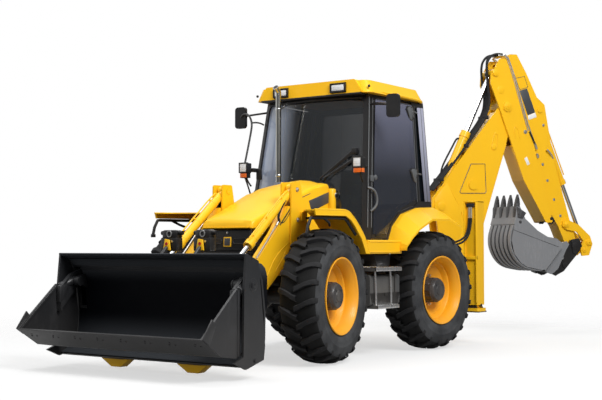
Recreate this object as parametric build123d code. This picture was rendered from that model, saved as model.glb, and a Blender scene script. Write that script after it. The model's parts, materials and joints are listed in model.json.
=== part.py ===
"""Backhoe loader with equal wheels: front loader with clam shovel, cab and slewed, extending backhoe.

Frame: +Z up with the ground at z = 0, the shovel faces -Y, +X is the machine's left side.
Sizes are millimetres. The pieces are drawn with the front axle at y = 0 and the backhoe in line,
and `place` moves them to the rest pose: backhoe slewed, wheels steered, origin under the middle.
"""
from build123d import *
import math
import os

# ---- driving dimensions -------------------------------------------------------------------
WHEELBASE = 2220.0
HUB_Z = 697.0                # hub height, the tyre's outer radius
WHEEL_X = 910.0              # middle of each tyre
KINGPIN_X = 745.0
STEER_FRONT = 8.7            # degrees, wheels' front edges towards +X
STEER_REAR = -4.6
SLEW_Y = 3580.0              # slew axis behind the front axle
SLEW = 33.0                  # degrees, backhoe turned towards +X
SHIFT_X = -172.2             # these two move the origin under the middle of the bounding box
SHIFT_Y = -1826.445
PIN_GAP = 0.5                # radial clearance of a pin in its eye

# Linkage points of the loader as (y, z) and of the backhoe as (distance behind the slew axis, z).
ARM_PIN = (50, 1490)
TILT_BASE = (50, 1820)
LIFT_BASE = (380, 940)
LIFT_EYE = (-600, 930)
SHOVEL_PIN = (-1290, 330)
TILT_EYE = (-1290, 735)
CLAM_PIN = (-1580, 860)

BOOM_PIN = (450, 620)
BOOM_RAM_BASE = (127, 1065)
BOOM_RAM_EYE = (775, 2050)
DIPPER_PIN = (1304, 3137)
DIPPER_RAM_BASE = (254, 1750)
DIPPER_RAM_EYE = (1117, 3589)
DIPPER_SLOPE = -71.5         # degrees, direction in which the dipper extends
BUCKET_RAM_BASE = (1847, 3121)
BUCKET_RAM_EYE = (2613, 1272)
LEVER_PIN = (2246, 1521)
LINK_PIN = (2540, 1162)
HITCH_PIN = (2360, 1217)
HITCH_LINK_PIN = (2189, 956)

HOOD_HINGE = (345, 1836)
DOOR_HINGE_LOW = (1992, 1700)     # (y, z) of the door's hinge line at two heights
DOOR_HINGE_TOP = (2087, 2930)
HINGE_OUT = 20.0             # how far the hinge line stands off the cab's side
LIP_EDGE = (-2241, 392)      # under side of the clam's lip plate, front and back
LIP_BACK = (-1990, 236)
LIP_PLATE = 20.0
LIP_HOLE = 9.5               # radius of the holes for a bolt-on edge
LIP_HOLE_BACK = 70.0         # distance of the holes from the front edge
LIP_HOLES = [-1050, -750, -450, -150, 150, 450, 750, 1050]

SILL_Z = 1280.0
CAB_TOP_Z = 2950.0
CAB_HALF_LOW = 950.0
CAB_HALF_TOP = 770.0
CAB_NOSE_LOW = 833.0         # half width at the front corners
CAB_NOSE_TOP = 709.0
CAB_FRONT_LOW_Y = 940.0
CAB_FRONT_TOP_Y = 1187.0
CAB_REAR_LOW_Y = 2290.0
CAB_REAR_TOP_Y = 2350.0
CAB_BOW = 110.0              # how far the windscreen bulges forward
FENDER_HALF = 1170.0
GUARD_X = 915.0              # where the mudguards start to slope
HOOD_HALF = 385.0
COWL_BACK = 910.0
COWL_TOP = [(352, 1820), (560, 1900), (COWL_BACK, 1966)]     # (y, z) line of the cowl's top
DOOR_TOP_Z = 2913.0          # low enough for the leaf's rear corner to swing under the roof rail
DOOR_HINGES = [2060, 2790]   # heights of the door's hinge barrels
ARM_X = 468.0                # middle of the loader arms and their rams
ARM_HALF = 48.0
END_WALL = 18.0              # a ram barrel's closed end


# ---- small helpers ------------------------------------------------------------------------
def side(points, x0, x1, radius=0.0):
    """Plate with an outline of (y, z) points, between two x values, its corners rounded."""
    face = Polygon(*points, align=None)
    if radius:
        face = fillet(face.vertices(), radius)
    return extrude(Plane.YZ.offset(x0) * face, amount=x1 - x0, dir=(1, 0, 0))


def block(x0, x1, y0, y1, z0, z1, radius=0.0, axis=None):
    """Box between two corners, with the edges along one axis rounded."""
    box = Pos((x0 + x1) / 2, (y0 + y1) / 2, (z0 + z1) / 2) * Box(x1 - x0, y1 - y0, z1 - z0)
    if radius:
        box = fillet(box.edges().filter_by(axis), radius)
    return box


def pin(point, x0, x1, radius):
    """Cylinder along X at a (y, z) point."""
    middle = Pos((x0 + x1) / 2, point[0], point[1])
    return middle * Rot(0, 90, 0) * Cylinder(radius, abs(x1 - x0))


def rod(start, end, radius):
    """Cylinder between two 3-D points."""
    line = Vector(*end) - Vector(*start)
    return Plane(origin=start, z_dir=line) * Cylinder(
        radius, line.length, align=(Align.CENTER, Align.CENTER, Align.MIN))


def both(shape):
    """The shape and its mirror image on the other side of the machine."""
    return shape + mirror(shape, about=Plane.YZ)


def distance(a, b):
    return math.hypot(b[0] - a[0], b[1] - a[1])


def toward(a, b, length):
    """Point at a distance from a on the way to b."""
    full = distance(a, b)
    return (a[0] + (b[0] - a[0]) * length / full, a[1] + (b[1] - a[1]) * length / full)


def ram_barrel(base, eye, x, length, radius, base_radius, pin_radius, width):
    """Barrel with its base eye, neck, gland collar and bore."""
    neck = toward(base, eye, base_radius * 1.55)
    start = toward(base, eye, base_radius * 1.5)
    head = toward(base, eye, length)
    collar = toward(base, eye, length - 60)
    body = rod((x, *start), (x, *head), radius)
    body += rod((x, *collar), (x, *head), radius * 1.1)
    body += rod((x, *base), (x, *neck), width * 0.46)
    body += pin(base, x - width / 2, x + width / 2, base_radius)
    floor = toward(base, eye, base_radius * 1.5 + END_WALL)
    bore = rod((x, *floor), (x, *toward(base, eye, length + 5)), radius * 0.7)
    return body - bore - pin(base, x - width, x + width, pin_radius + PIN_GAP)


def ram_rod(base, eye, x, start, radius, eye_radius, pin_radius, width):
    """Rod with its eye and the pin that sits in it."""
    first = toward(base, eye, start)
    shaft = rod((x, *first), (x, *toward(eye, base, eye_radius * 0.6)), radius)
    shaft += pin(eye, x - width / 2, x + width / 2, eye_radius)
    return shaft + pin(eye, x - width / 2 - 3, x + width / 2 + 3, pin_radius)


# ---- placing ------------------------------------------------------------------------------
def place(shape):
    """Machine frame to part frame."""
    return Pos(SHIFT_X, SHIFT_Y, 0) * shape


def hoe(shape):
    """Backhoe pieces are drawn in line: turn them about the slew axis."""
    return Pos(0, SLEW_Y, 0) * Rot(0, 0, -SLEW) * shape


def kingpin(front, sign):
    return (sign * KINGPIN_X, 0.0 if front else WHEELBASE)


def steered(shape, front, sign):
    """Turn a piece drawn for straight wheels about its kingpin."""
    x, y = kingpin(front, sign)
    angle = STEER_FRONT if front else STEER_REAR
    return Pos(x, y, 0) * Rot(0, 0, angle) * Pos(-x, -y, 0) * shape


# ---- chassis ------------------------------------------------------------------------------
def chassis_frame():
    outline = [(-470, 820), (-470, 960), (-380, 1000), (2700, 1000), (2990, 1000), (2990, 820)]
    frame = both(side(outline, 285, 330))
    for y, z in ((-80, 890), (640, 830), (1500, 830), (2700, 830)):
        frame += block(-285, 285, y, y + 160, z, 960)
    frame += block(-330, 330, -500, -470, 600, 1130, 40, Axis.Y)
    frame += both(block(180, 285, 100, 170, 935, 990))
    for y in (1000, 2180):
        frame += both(Pos(305, y, 1065) * Cylinder(22, 130))
    return frame


def loader_towers():
    outline = [(-60, 1270), (-55, 1890), (110, 1890), (150, 1700), (215, 1530), (440, 1080), (440, 870),
               (200, 780), (-20, 900)]
    inner, outer = ARM_X - ARM_HALF - 6, ARM_X + ARM_HALF + 6
    tower = side(outline, inner - 18, inner, 25) + side(outline, outer, outer + 18, 25)
    tower += side([(205, 1520), (224, 1528), (432, 1088), (414, 1078)], inner, outer)
    tower += side([(210, 800), (424, 868), (418, 886), (204, 818)], inner, outer)
    for point, radius in ((ARM_PIN, 32), (TILT_BASE, 26), (LIFT_BASE, 24)):
        tower += pin(point, inner - 18, outer + 18, radius)
        tower += pin(point, inner - 24, inner, radius * 1.35)
    return both(tower + block(330, inner - 18, 120, 420, 840, 960))


def drive_line():
    engine = block(-240, 240, -230, 560, 960, 1330, 60, Axis.Z) - both(block(170, 300, 90, 180, 900, 990))
    gearbox = block(-190, 190, 840, 1460, 560, 1080, 50, Axis.Y)
    gearbox += block(-120, 120, 555, 845, 970, 1070)
    shafts = rod((0, 181, 690), (0, 845, 660), 34) + rod((0, 1455, 660), (0, 2030, 690), 34)
    return engine + gearbox + shafts


def front_grille():
    panel = side([(-500, 1130), (-470, 1400), (-440, 1400), (-470, 1130)], -375, 375, 4)
    for column in range(6):
        x = -300 + column * 120
        panel -= side([(-520, 1180), (-500, 1340), (-466, 1340), (-484, 1180)], x - 45, x + 45)
    return panel


def hood():
    outer = side([(-480, 1405), (-460, 1490), (340, 1815), (340, 1440), (-400, 1405)], -HOOD_HALF, HOOD_HALF, 12)
    inner = side([(-520, 1380), (-440, 1468), (330, 1785), (360, 1785), (360, 1380)],
                 -HOOD_HALF + 25, HOOD_HALF - 25)
    leaf = block(200, 250, 290, 340, 1795, 1830)
    return outer - inner + both(leaf + pin(HOOD_HINGE, 200, 250, 10))


def rear_cowl():
    outer = side(COWL_TOP + [(COWL_BACK, 1085), (600, 1085), (600, 1300), (352, 1300)],
                 -HOOD_HALF - 5, HOOD_HALF + 5)
    inner = side([(330, 1280), (330, 1795), (560, 1872), (920, 1940), (920, 990), (625, 990), (625, 1280)],
                 -HOOD_HALF + 15, HOOD_HALF - 15)
    return outer - inner - cab_solid(0, SILL_Z - 300, CAB_TOP_Z)


def exhaust_stack():
    """Pipe standing on the cowl in front of the windscreen, its mouth bent forwards."""
    x, y, bend = -320, 873, 3010
    stack = rod((x, y, 1850), (x, y, bend), 32)
    stack += rod((x, y, bend), (x, y - 55, bend + 50), 32)
    return stack - side(COWL_TOP + [(COWL_BACK, 1500), (352, 1500)], -HOOD_HALF, HOOD_HALF)


def front_fender():
    """Arched sheet from over the wheel down to the sill, with a skirt along its outer edge."""
    crown = [(-410, 1582), (180, 1588), (292, 1530), (382, 1465), (522, 1320), (592, 1200), (630, 1130)]
    under = [(612, 1130), (577, 1195), (508, 1312), (370, 1453), (283, 1516), (176, 1574), (-410, 1568)]
    skirt = [(556, 1130), (533, 1180), (470, 1288), (338, 1422), (262, 1482), (165, 1528), (-410, 1522)]
    fender = side(crown + under, 560, 1075) + side(crown + skirt, 1070, 1084)
    return fender + block(540, 565, 100, 200, 1480, 1580)


def front_fenders():
    return both(front_fender())


# ---- axles and wheels ---------------------------------------------------------------------
def axle(y):
    """Axle tube, differential housing and the forks that hold the knuckles."""
    # (x, radius) outline of the housing
    outline = [(-575, 0), (-575, 95), (-230, 95), (-110, 180), (110, 180), (230, 95), (575, 95), (575, 0)]
    body = Pos(0, y, HUB_Z) * revolve(Plane.XZ * Polygon(*outline, align=None), Axis.X, 360)
    fork = block(560, 600, y - 90, y + 90, HUB_Z - 150, HUB_Z + 150)
    for z0, z1 in ((HUB_Z + 112, HUB_Z + 150), (HUB_Z - 150, HUB_Z - 112)):
        fork += block(590, KINGPIN_X + 45, y - 60, y + 60, z0, z1, 40, Axis.Z)
    return body + both(fork)


def axles():
    front = axle(0) + block(-60, 60, -60, 60, 860, 890)
    rear = axle(WHEELBASE) + both(block(285, 330, WHEELBASE - 90, WHEELBASE + 90, 740, 820))
    return front + rear


def knuckle(front, sign):
    y = 0 if front else WHEELBASE
    x = KINGPIN_X
    body = Pos(x, y, HUB_Z) * Cylinder(62, 216)
    body += pin((y, HUB_Z), x, 905, 70)
    body += pin((y, HUB_Z), x + 20, 800, 100)
    arm = block(x - 60, x + 30, y + 60, y + 190, HUB_Z - 30, HUB_Z + 10)
    body += arm
    body = body if sign > 0 else mirror(body, about=Plane.YZ)
    return steered(body, front, sign)


def revolve_x(profile, x, y):
    """Revolve (x offset, radius) points about a wheel's axis."""
    face = Plane.XZ * Polygon(*profile, align=None)
    return Pos(x, y, HUB_Z) * revolve(face, Axis.X, 360)


def rim(front, sign):
    y = 0 if front else WHEELBASE
    # (offset outwards from the tyre's middle, radius): barrel, flanges and disc
    barrel = [(-195, 370), (-195, 400), (-175, 400), (-165, 352), (150, 352), (190, 378), (190, 403),
              (206, 403), (206, 385), (160, 338), (30, 330), (-10, 150), (-40, 150), (-10, 338), (-165, 338)]
    hub = [(-40, 72), (-40, 152), (-8, 152), (0, 137), (150, 137), (170, 120), (170, 0), (10, 0), (10, 72)]
    shape = revolve_x(barrel, WHEEL_X, y) + revolve_x(hub, WHEEL_X, y)
    shape = shape if sign > 0 else mirror(shape, about=Plane.YZ)
    return steered(shape, front, sign)


def tyre(front, sign):
    y = 0 if front else WHEELBASE
    profile = [(-193, 403), (-212, 470), (-205, 580), (-185, 640), (-140, 680), (0, 697), (140, 680), (185, 640),
               (205, 580), (212, 470), (193, 404), (188, 404), (188, 380), (150, 354), (-160, 354), (-172, 403)]
    shape = revolve_x(profile, WHEEL_X, y)
    shape = shape if sign > 0 else mirror(shape, about=Plane.YZ)
    return steered(shape, front, sign)


# ---- cab ----------------------------------------------------------------------------------
def cab_plan(z):
    """Plan of the cab at a height: half widths at the front and rear corners, y of both."""
    f = (z - SILL_Z) / (CAB_TOP_Z - SILL_Z)
    low = (CAB_NOSE_LOW, CAB_HALF_LOW, CAB_FRONT_LOW_Y, CAB_REAR_LOW_Y)
    top = (CAB_NOSE_TOP, CAB_HALF_TOP, CAB_FRONT_TOP_Y, CAB_REAR_TOP_Y)
    return [a + (b - a) * f for a, b in zip(low, top)]


def cab_side(y, z):
    """Half width of the cab's side plane at a point."""
    nose, half, front, rear = cab_plan(z)
    return nose + (half - nose) * (y - front) / (rear - front)


def cab_solid(inset, z0, z1):
    """Tapered block of the cab between two heights, its walls moved inwards."""
    def ring(z):
        nose, half, front, rear = cab_plan(z)
        nose, half, front, rear = nose - inset, half - inset, front + inset, rear - inset
        outline = Polyline((-nose, front), (-half, rear), (half, rear), (nose, front))
        bow = ThreePointArc((nose, front), (0, front - CAB_BOW), (-nose, front))
        return Pos(0, 0, z) * make_face(outline + bow)
    return loft([ring(z0), ring(z1)])


ARCH_TOP = [(1345, 1190), (1358, 1275), (1457, 1440), (1646, 1585), (1964, 1665), (2300, 1680), (2600, 1620)]
LIP_TOP = [(1265, 1190), (1275, 1225), (1400, 1320), (1570, 1420), (1860, 1530), (2270, 1535), (2580, 1450)]
DOOR_OUTLINE = [(1040, 1290), (1292, 2930), (2090, 2930), (1995, 1710), (1955, 1690), (1628, 1610), (1438, 1462),
                (1338, 1290)]
DOOR_WINDOW = [(1095, 1350), (1345, 2880), (2040, 2880), (1950, 1760), (1610, 1668), (1392, 1512), (1300, 1350)]


def under_arch():
    """Everything below the top line of the rear mudguards."""
    return side(ARCH_TOP + [(2600, 1100), (1345, 1100)], -1000, 1000)


def window_cutters():
    """Prisms through the windscreen, the rear window and the quarter windows."""
    outline = [(-782, 1350), (782, 1350), (668, 2890), (-668, 2890)]
    screen = fillet(Polygon(*outline, align=None).vertices(), 50)
    wind = extrude(Plane.XZ.offset(-1300) * screen, amount=1000, dir=(0, -1, 0))
    rear = block(-690, 690, 2200, 2500, 1730, 2880, 60, Axis.Y)
    quarter = side([(2060, 1745), (2140, 2885), (2272, 2885), (2222, 1745)], 600, 1200, 30)
    return [wind, rear, quarter, mirror(quarter, about=Plane.YZ)]


def cab_frame():
    shell = cab_solid(0, SILL_Z, CAB_TOP_Z) - cab_solid(60, SILL_Z - 5, CAB_TOP_Z + 5)
    shell -= under_arch()
    shell -= side(DOOR_OUTLINE, -1200, 1200)
    for cutter in window_cutters():
        shell -= cutter
    return shell


def cab_glass():
    skin = cab_solid(22, 1400, 2940) - cab_solid(28, 1390, 2945)
    return Compound([skin & cutter for cutter in window_cutters()])


def cab_base():
    """Floor, sills, wheel boxes and the sloping rear mudguards."""
    floor = block(-545, 545, 970, 2270, 1130, 1160) + block(-850, 850, 970, 1345, 1130, 1160)
    sill = block(830, 1055, 633, 1345, 1130, SILL_Z, 10, Axis.Y) - block(700, 1040, 655, 1325, 1100, 1264)
    sill += block(545, 835, 1320, 1345, 1130, SILL_Z)
    drop = [(y, z - 28) for y, z in ARCH_TOP]
    lip_drop = [(y, z - 25) for y, z in LIP_TOP]
    top = side(ARCH_TOP + drop[::-1], 545, GUARD_X + 2)
    guard = loft([Plane.YZ.offset(x) * make_face(Polyline(*outline, close=True))
                  for x, outline in ((GUARD_X, ARCH_TOP + drop[::-1]), (FENDER_HALF, LIP_TOP + lip_drop[::-1]))])
    wall = side([(1345, 1130), (1345, 1185), (1370, 1280), (1465, 1430), (1650, 1575), (1960, 1655),
                 (2270, 1670), (2270, 1130)], 525, 547)
    rear = side([(2270, 1130), (2270, 1678.5), (2300, 1679.8), (2300, 1130)], -545, 545)
    front = block(-835, 835, 945, 970, 1130, SILL_Z)
    return both(top + guard + wall + sill) + floor + rear + front


def cab_roof():
    """Roof shell with a deeper visor across the front that holds the work lamps."""
    def ring(z, half, front, rear):
        return Pos(0, (front + rear) / 2, z) * RectangleRounded(2 * half, rear - front, 90)
    cap = loft([ring(2950, 810, 1060, 2330), ring(3095, 755, 1090, 2270)])
    outline = Polygon((-735, 2950), (735, 2950), (625, 3105), (-625, 3105), align=None)
    visor = extrude(Plane.XZ.offset(-1290) * fillet(outline.vertices(), 20), amount=250, dir=(0, -1, 0))
    return cap + visor - both(block(297, 513, 1000, 1080, 2960, 3078))


def hinge_point(z):
    """Point of the left door's hinge line at a height."""
    f = (z - DOOR_HINGE_LOW[1]) / (DOOR_HINGE_TOP[1] - DOOR_HINGE_LOW[1])
    y = DOOR_HINGE_LOW[0] + (DOOR_HINGE_TOP[0] - DOOR_HINGE_LOW[0]) * f
    return (cab_side(y, z) + HINGE_OUT, y, z)


def door_hinge(z):
    """Hinge barrel on the hinge line with the leaf that carries it on the door."""
    x, y, _ = hinge_point(z)
    leaf = block(x - HINGE_OUT - 12, x, y - 75, y - 6, z - 40, z + 40)
    return rod(hinge_point(z - 45), hinge_point(z + 45), 12) + leaf


def door_frame(sign):
    shell = cab_solid(2, SILL_Z + 2, CAB_TOP_Z) - cab_solid(42, SILL_Z - 5, CAB_TOP_Z + 5)
    panel = shell & side(inset_outline(DOOR_OUTLINE, 8), 500, 1200, 0)
    panel -= side(DOOR_WINDOW, 500, 1200, 35) + block(500, 1200, 900, 2400, DOOR_TOP_Z, CAB_TOP_Z)
    for z in DOOR_HINGES:
        panel += door_hinge(z)
    return panel if sign > 0 else mirror(panel, about=Plane.YZ)


def door_glass(sign):
    shell = cab_solid(18, SILL_Z + 2, CAB_TOP_Z) - cab_solid(26, SILL_Z - 5, CAB_TOP_Z + 5)
    pane = shell & side(DOOR_WINDOW, 500, 1200, 35)
    return pane if sign > 0 else mirror(pane, about=Plane.YZ)


def inset_outline(points, amount):
    """Outline moved inwards by an amount, corner by corner."""
    face = offset(Polygon(*points, align=None), -amount)
    corners = face.vertices()
    ordered = []
    for corner in points:
        best = min(corners, key=lambda v: math.hypot(v.X - corner[0], v.Y - corner[1]))
        ordered.append((best.X, best.Y))
    return ordered


def seat():
    base = block(-180, 180, 1560, 1900, 1160, 1485, 20, Axis.Z)
    cushion = block(-260, 260, 1480, 1960, 1485, 1602, 50, Axis.Z)
    back = side([(1900, 1602), (2010, 2180), (2090, 2180), (1990, 1602)], -240, 240, 15)
    return base + cushion + back


def steering_console():
    column = rod((0, 1110, 1300), (0, 1190, 1925), 60)
    dash = block(-240, 240, 1040, 1160, 1160, 1780, 50, Axis.Z)
    wheel = Plane(origin=(0, 1200, 1930), z_dir=(0, 0.35, 1)) * Torus(190, 16)
    spoke = Plane(origin=(0, 1200, 1930), z_dir=(0, 0.35, 1)) * Box(370, 40, 16)
    return column + dash + wheel + spoke


def side_tanks():
    tank = block(600, 1000, 760, 1385, 560, 900, 40, Axis.Y)
    step = block(800, 1075, 765, 1310, 940, 975) + block(840, 1075, 800, 1250, 530, 562)
    stay = block(820, 880, 800, 860, 895, 945) + block(820, 880, 1120, 1180, 895, 945)
    bracket = block(330, 605, 900, 960, 840, 890) + block(330, 605, 1200, 1260, 840, 890)
    return both(tank + step + stay + bracket)


def lamps():
    head = block(740, 860, 820, 900, 2080, 2200, 15, Axis.Y) + block(750, 850, 825, 895, 2022, 2082)
    stay = rod((790, 895, 2110), (760, 1100, 2110), 14)
    work = block(305, 505, 1030, 1080, 2968, 3070, 15, Axis.Y)
    return both(head + stay - cab_solid(0, SILL_Z, CAB_TOP_Z)) + both(work)


def mirrors():
    glass = block(1000, 1160, 1110, 1150, 2650, 2910, 40, Axis.Y)
    arm = rod((1005, 1135, 2800), (700, 1215, 2830), 12)
    return both(glass + (arm - cab_solid(0, SILL_Z, CAB_TOP_Z)))


# ---- loader -------------------------------------------------------------------------------
def loader_arms():
    x0, x1 = ARM_X - ARM_HALF, ARM_X + ARM_HALF
    outline = [(60, 1600), (-70, 1640), (-310, 1350), (-600, 1070), (-900, 800), (-1230, 420), (-1330, 380),
               (-1345, 290), (-1230, 250), (-1000, 420), (-540, 690), (-360, 830), (-200, 960), (20, 1300),
               (140, 1420), (150, 1530)]
    trough = [(175, 1468), (-60, 1322), (-310, 1165), (-700, 985), (-720, 880), (-640, 600), (-200, 700),
              (240, 1200)]
    arm = side(outline, x0, x1, 30) - side(trough, x0 + 10, x1 - 10)
    arm -= pin(ARM_PIN, 400, 560, 32 + PIN_GAP)
    arm += pin(SHOVEL_PIN, x0, x1, 60)
    arm += pin(LIFT_EYE, x0, ARM_X - 22, 46) + pin(LIFT_EYE, ARM_X + 22, x1, 46)
    tube = rod((-x0, -1080, 470), (x0, -1080, 470), 55)
    return both(arm - pin(SHOVEL_PIN, 400, 560, 26 + PIN_GAP)) + tube


def lift_ram_barrels():
    return both(ram_barrel(LIFT_BASE, LIFT_EYE, ARM_X, 720, 30, 42, 24, 60))


def lift_ram_rods():
    return both(ram_rod(LIFT_BASE, LIFT_EYE, ARM_X, 120, 18, 38, 18, 32))


def tilt_ram_barrels():
    return both(ram_barrel(TILT_BASE, TILT_EYE, ARM_X, 970, 46, 56, 26, 80))


def tilt_ram_rods():
    return both(ram_rod(TILT_BASE, TILT_EYE, ARM_X, 540, 26, 48, 24, 60))


def shovel_blade():
    # (y, z) section of the curved back, from the top edge down to the ground edge
    back = [(-1680, 1130), (-1665, 1140), (-1530, 1085), (-1440, 900), (-1395, 600), (-1400, 350), (-1440, 190),
            (-1650, 110), (-1670, 125), (-1480, 215), (-1425, 370), (-1420, 600), (-1465, 890), (-1545, 1065)]
    blade = side(back, -1220, 1220)
    cheek = [(-1680, 1130), (-1665, 1140), (-1500, 1075), (-1400, 300), (-1420, 170), (-1680, 100),
             (-1850, 170), (-1720, 215), (-1710, 820)]
    blade += both(side(cheek, 1195, 1220))
    lug = [(-1420, 200), (-1420, 900), (-1250, 770), (-1240, 270)]
    for x0, x1 in ((396, 414), (522, 540)):
        blade += both(side(lug, x0, x1, 25))
    blade += both(pin(SHOVEL_PIN, 396, 540, 26))
    blade += both(pin(TILT_EYE, 504, 548, 40)) + both(pin(TILT_EYE, 388, 432, 40))
    blade += both(pin(CLAM_PIN, 1150, 1232, 42))
    slot = both(block(1075, 1170, -1700, -1340, 600, 1000))
    return blade - (slot - both(pin(CLAM_PIN, 1150, 1232, 60)))


def lip_point(back, up):
    """Point of the clam's lip plate, from its front edge and its under side."""
    run, drop = LIP_BACK[0] - LIP_EDGE[0], LIP_BACK[1] - LIP_EDGE[1]
    length = math.hypot(run, drop)
    return (LIP_EDGE[0] + (back * run - up * drop) / length, LIP_EDGE[1] + (back * drop + up * run) / length)


def shovel_clam():
    floor = [(-2250, 402), LIP_EDGE, LIP_BACK, (-1780, 205), (-1700, 235), (-1700, 255), (-1780, 228),
             lip_point(295.5, LIP_PLATE), lip_point(0, LIP_PLATE)]
    clam = side(floor, -1185, 1185)
    cheek = [(-2250, 402), (-1990, 236), (-1780, 205), (-1735, 225), (-1735, 830), (-1765, 830)]
    clam += both(side(cheek, 1160, 1185))
    arm = [(-1760, 800), (-1735, 600), (-1720, 600), (-1500, 830), (-1380, 920), (-1370, 990), (-1430, 1000),
           (-1620, 930)]
    clam += both(side(arm, 1100, 1145, 10)) + both(pin(CLAM_PIN, 1100, 1148, 70))
    clam += both(block(1100, 1185, -1760, -1735, 560, 800))
    for x in LIP_HOLES:
        low, high = lip_point(LIP_HOLE_BACK, -15), lip_point(LIP_HOLE_BACK, LIP_PLATE + 15)
        clam -= rod((x, *low), (x, *high), LIP_HOLE)
    return clam - both(pin(CLAM_PIN, 1090, 1190, 42 + PIN_GAP))


# ---- backhoe frame ------------------------------------------------------------------------
def rear_frame():
    column = block(1000, 1175, 2980, 3165, 490, 1770, 12, Axis.Z)
    column -= block(1018, 1157, 2998, 3147, 400, 1750)
    frame = block(-1000, 1000, 2990, 3150, 950, 1090) + block(-1000, 1000, 2990, 3150, 520, 640)
    frame += both(block(280, 335, 2990, 3150, 600, 1000)) + both(block(920, 1000, 2990, 3150, 600, 1000))
    carriage = block(-330, 330, 3150, 3260, 500, 1110, 20, Axis.X)
    lug = [(-110, 3255), (110, 3255), (95, SLEW_Y), (-95, SLEW_Y)]
    for z0, z1 in ((505, 575), (905, 975)):
        plate = extrude(Pos(0, 0, z0) * Polygon(*lug, align=None), amount=z1 - z0, dir=(0, 0, 1))
        carriage += plate + Pos(0, SLEW_Y, (z0 + z1) / 2) * Cylinder(95, z1 - z0)
    return frame + both(column) + carriage + Pos(0, SLEW_Y, 740) * Cylinder(38, 490)


def stabiliser_leg(sign):
    leg = block(1022, 1153, 3002, 3143, 460, 1600)
    foot = block(990, 1195, 2965, 3180, 410, 450, 30, Axis.Z) + block(1040, 1135, 3020, 3125, 440, 470)
    leg += foot
    return leg if sign > 0 else mirror(leg, about=Plane.YZ)


# ---- backhoe ------------------------------------------------------------------------------
def kingpost():
    web = [(0, 583), (0, 897), (105, 897), (105, 985), (60, 985), (60, 1110), (130, 1110), (150, 960),
           (175, 900), (330, 790), (330, 583)]
    post = Pos(0, 0, 740) * Cylinder(80, 314) + side(web, -60, 60) + pin(BOOM_RAM_BASE, -60, 60, 62)
    post -= pin(BOOM_RAM_BASE, -43, 43, 80) + block(-43, 43, 130, 260, 985, 1200)
    fork = [(300, 560), (300, 700), (400, 740), (520, 720), (550, 620), (520, 530), (400, 500)]
    post += both(side(fork, 125, 155, 25)) + block(-155, 155, 235, 312, 590, 700)
    post += pin(BOOM_RAM_BASE, -60, 60, 30) + pin(BOOM_PIN, -155, 155, 40)
    return post - Pos(0, 0, 740) * Cylinder(38 + PIN_GAP, 600)


def boom():
    outline = [(1180, 3120), (150, 1850), (140, 1740), (200, 1660), (330, 640), (430, 520), (540, 560),
               (907, 1470), (1304, 2649), (1420, 3060)]
    body = both(side(outline, 95, 115, 35))
    body += side([(1150, 3060), (720, 2500), (742, 2480), (1172, 3040)], -95, 95)
    body += side([(1296, 2640), (905, 1478), (600, 760), (625, 750), (929, 1470), (1318, 2632)], -95, 95)
    body += pin(DIPPER_PIN, -118, 118, 125) + pin(BOOM_PIN, -118, 118, 95)
    body += both(pin(DIPPER_RAM_BASE, 40, 128, 75)) + pin(DIPPER_RAM_BASE, -120, 120, 30)
    body += both(pin(BOOM_RAM_EYE, 48, 128, 70))
    return body - pin(BOOM_PIN, -200, 200, 40 + PIN_GAP) - pin(DIPPER_PIN, -200, 200, 38 + PIN_GAP)


def boom_ram_barrel():
    return ram_barrel(BOOM_RAM_BASE, BOOM_RAM_EYE, 0, 1040, 66, 70, 30, 76)


def boom_ram_rod():
    return ram_rod(BOOM_RAM_BASE, BOOM_RAM_EYE, 0, 132, 38, 65, 34, 80)


def dipper_ram_barrel():
    return ram_barrel(DIPPER_RAM_BASE, DIPPER_RAM_EYE, 0, 1130, 62, 68, 30, 72)


def dipper_ram_rod():
    return ram_rod(DIPPER_RAM_BASE, DIPPER_RAM_EYE, 0, 815, 34, 62, 32, 70)


def dipper_outer():
    outline = [(1040, 3440), (1050, 3560), (1190, 3790), (1335, 3790), (1420, 3530), (1793, 2394),
               (2021, 1545), (1910, 1545), (1555, 2127), (1190, 3080)]
    body = both(side(outline, 122, 147, 25))
    body += side([(1368, 2600), (1555, 2127), (1905, 1560), (1935, 1575), (1580, 2145), (1392, 2608)],
                 -125, 125)
    body += side([(1235, 3735), (1320, 3735), (1310, 3765), (1245, 3765)], -125, 125)
    body += pin(DIPPER_PIN, -147, 147, 38) + both(pin(DIPPER_PIN, 145, 160, 75))
    return body + both(pin(DIPPER_RAM_EYE, 42, 160, 52))


def dipper_inner():
    outline = [(1352, 3865), (1480, 3870), (1630, 3620), (1800, 3290), (1925, 3190), (1945, 3080),
               (2060, 2450), (2310, 1620), (2440, 1250), (2400, 1130), (2290, 1150), (2130, 1500),
               (1990, 1700), (1760, 2400), (1380, 3540)]
    slot = [(1765, 3240), (2000, 3240), (2000, 2900), (2240, 2200), (2100, 2180), (1800, 2980)]
    face = offset(Polygon(*outline, align=None), -12)
    hollow = extrude(Plane.YZ.offset(-98) * face, amount=196, dir=(1, 0, 0))
    body = side(outline, -110, 110, 20) - hollow - side(slot, -70, 70)
    body += pin(HITCH_PIN, -100, 100, 60)
    body += both(pin(BUCKET_RAM_BASE, 40, 122, 45)) + pin(BUCKET_RAM_BASE, -110, 110, 26)
    body += pin(LEVER_PIN, -112, 112, 60) + pin(HITCH_PIN, -112, 112, 85) + pin(HITCH_PIN, -178, 178, 34)
    return body - pin(LEVER_PIN, -200, 200, 30 + PIN_GAP)


def bucket_ram_barrel():
    return ram_barrel(BUCKET_RAM_BASE, BUCKET_RAM_EYE, 0, 1114, 50, 56, 26, 70)


def bucket_ram_rod():
    return ram_rod(BUCKET_RAM_BASE, BUCKET_RAM_EYE, 0, 815, 28, 52, 28, 64)


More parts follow.
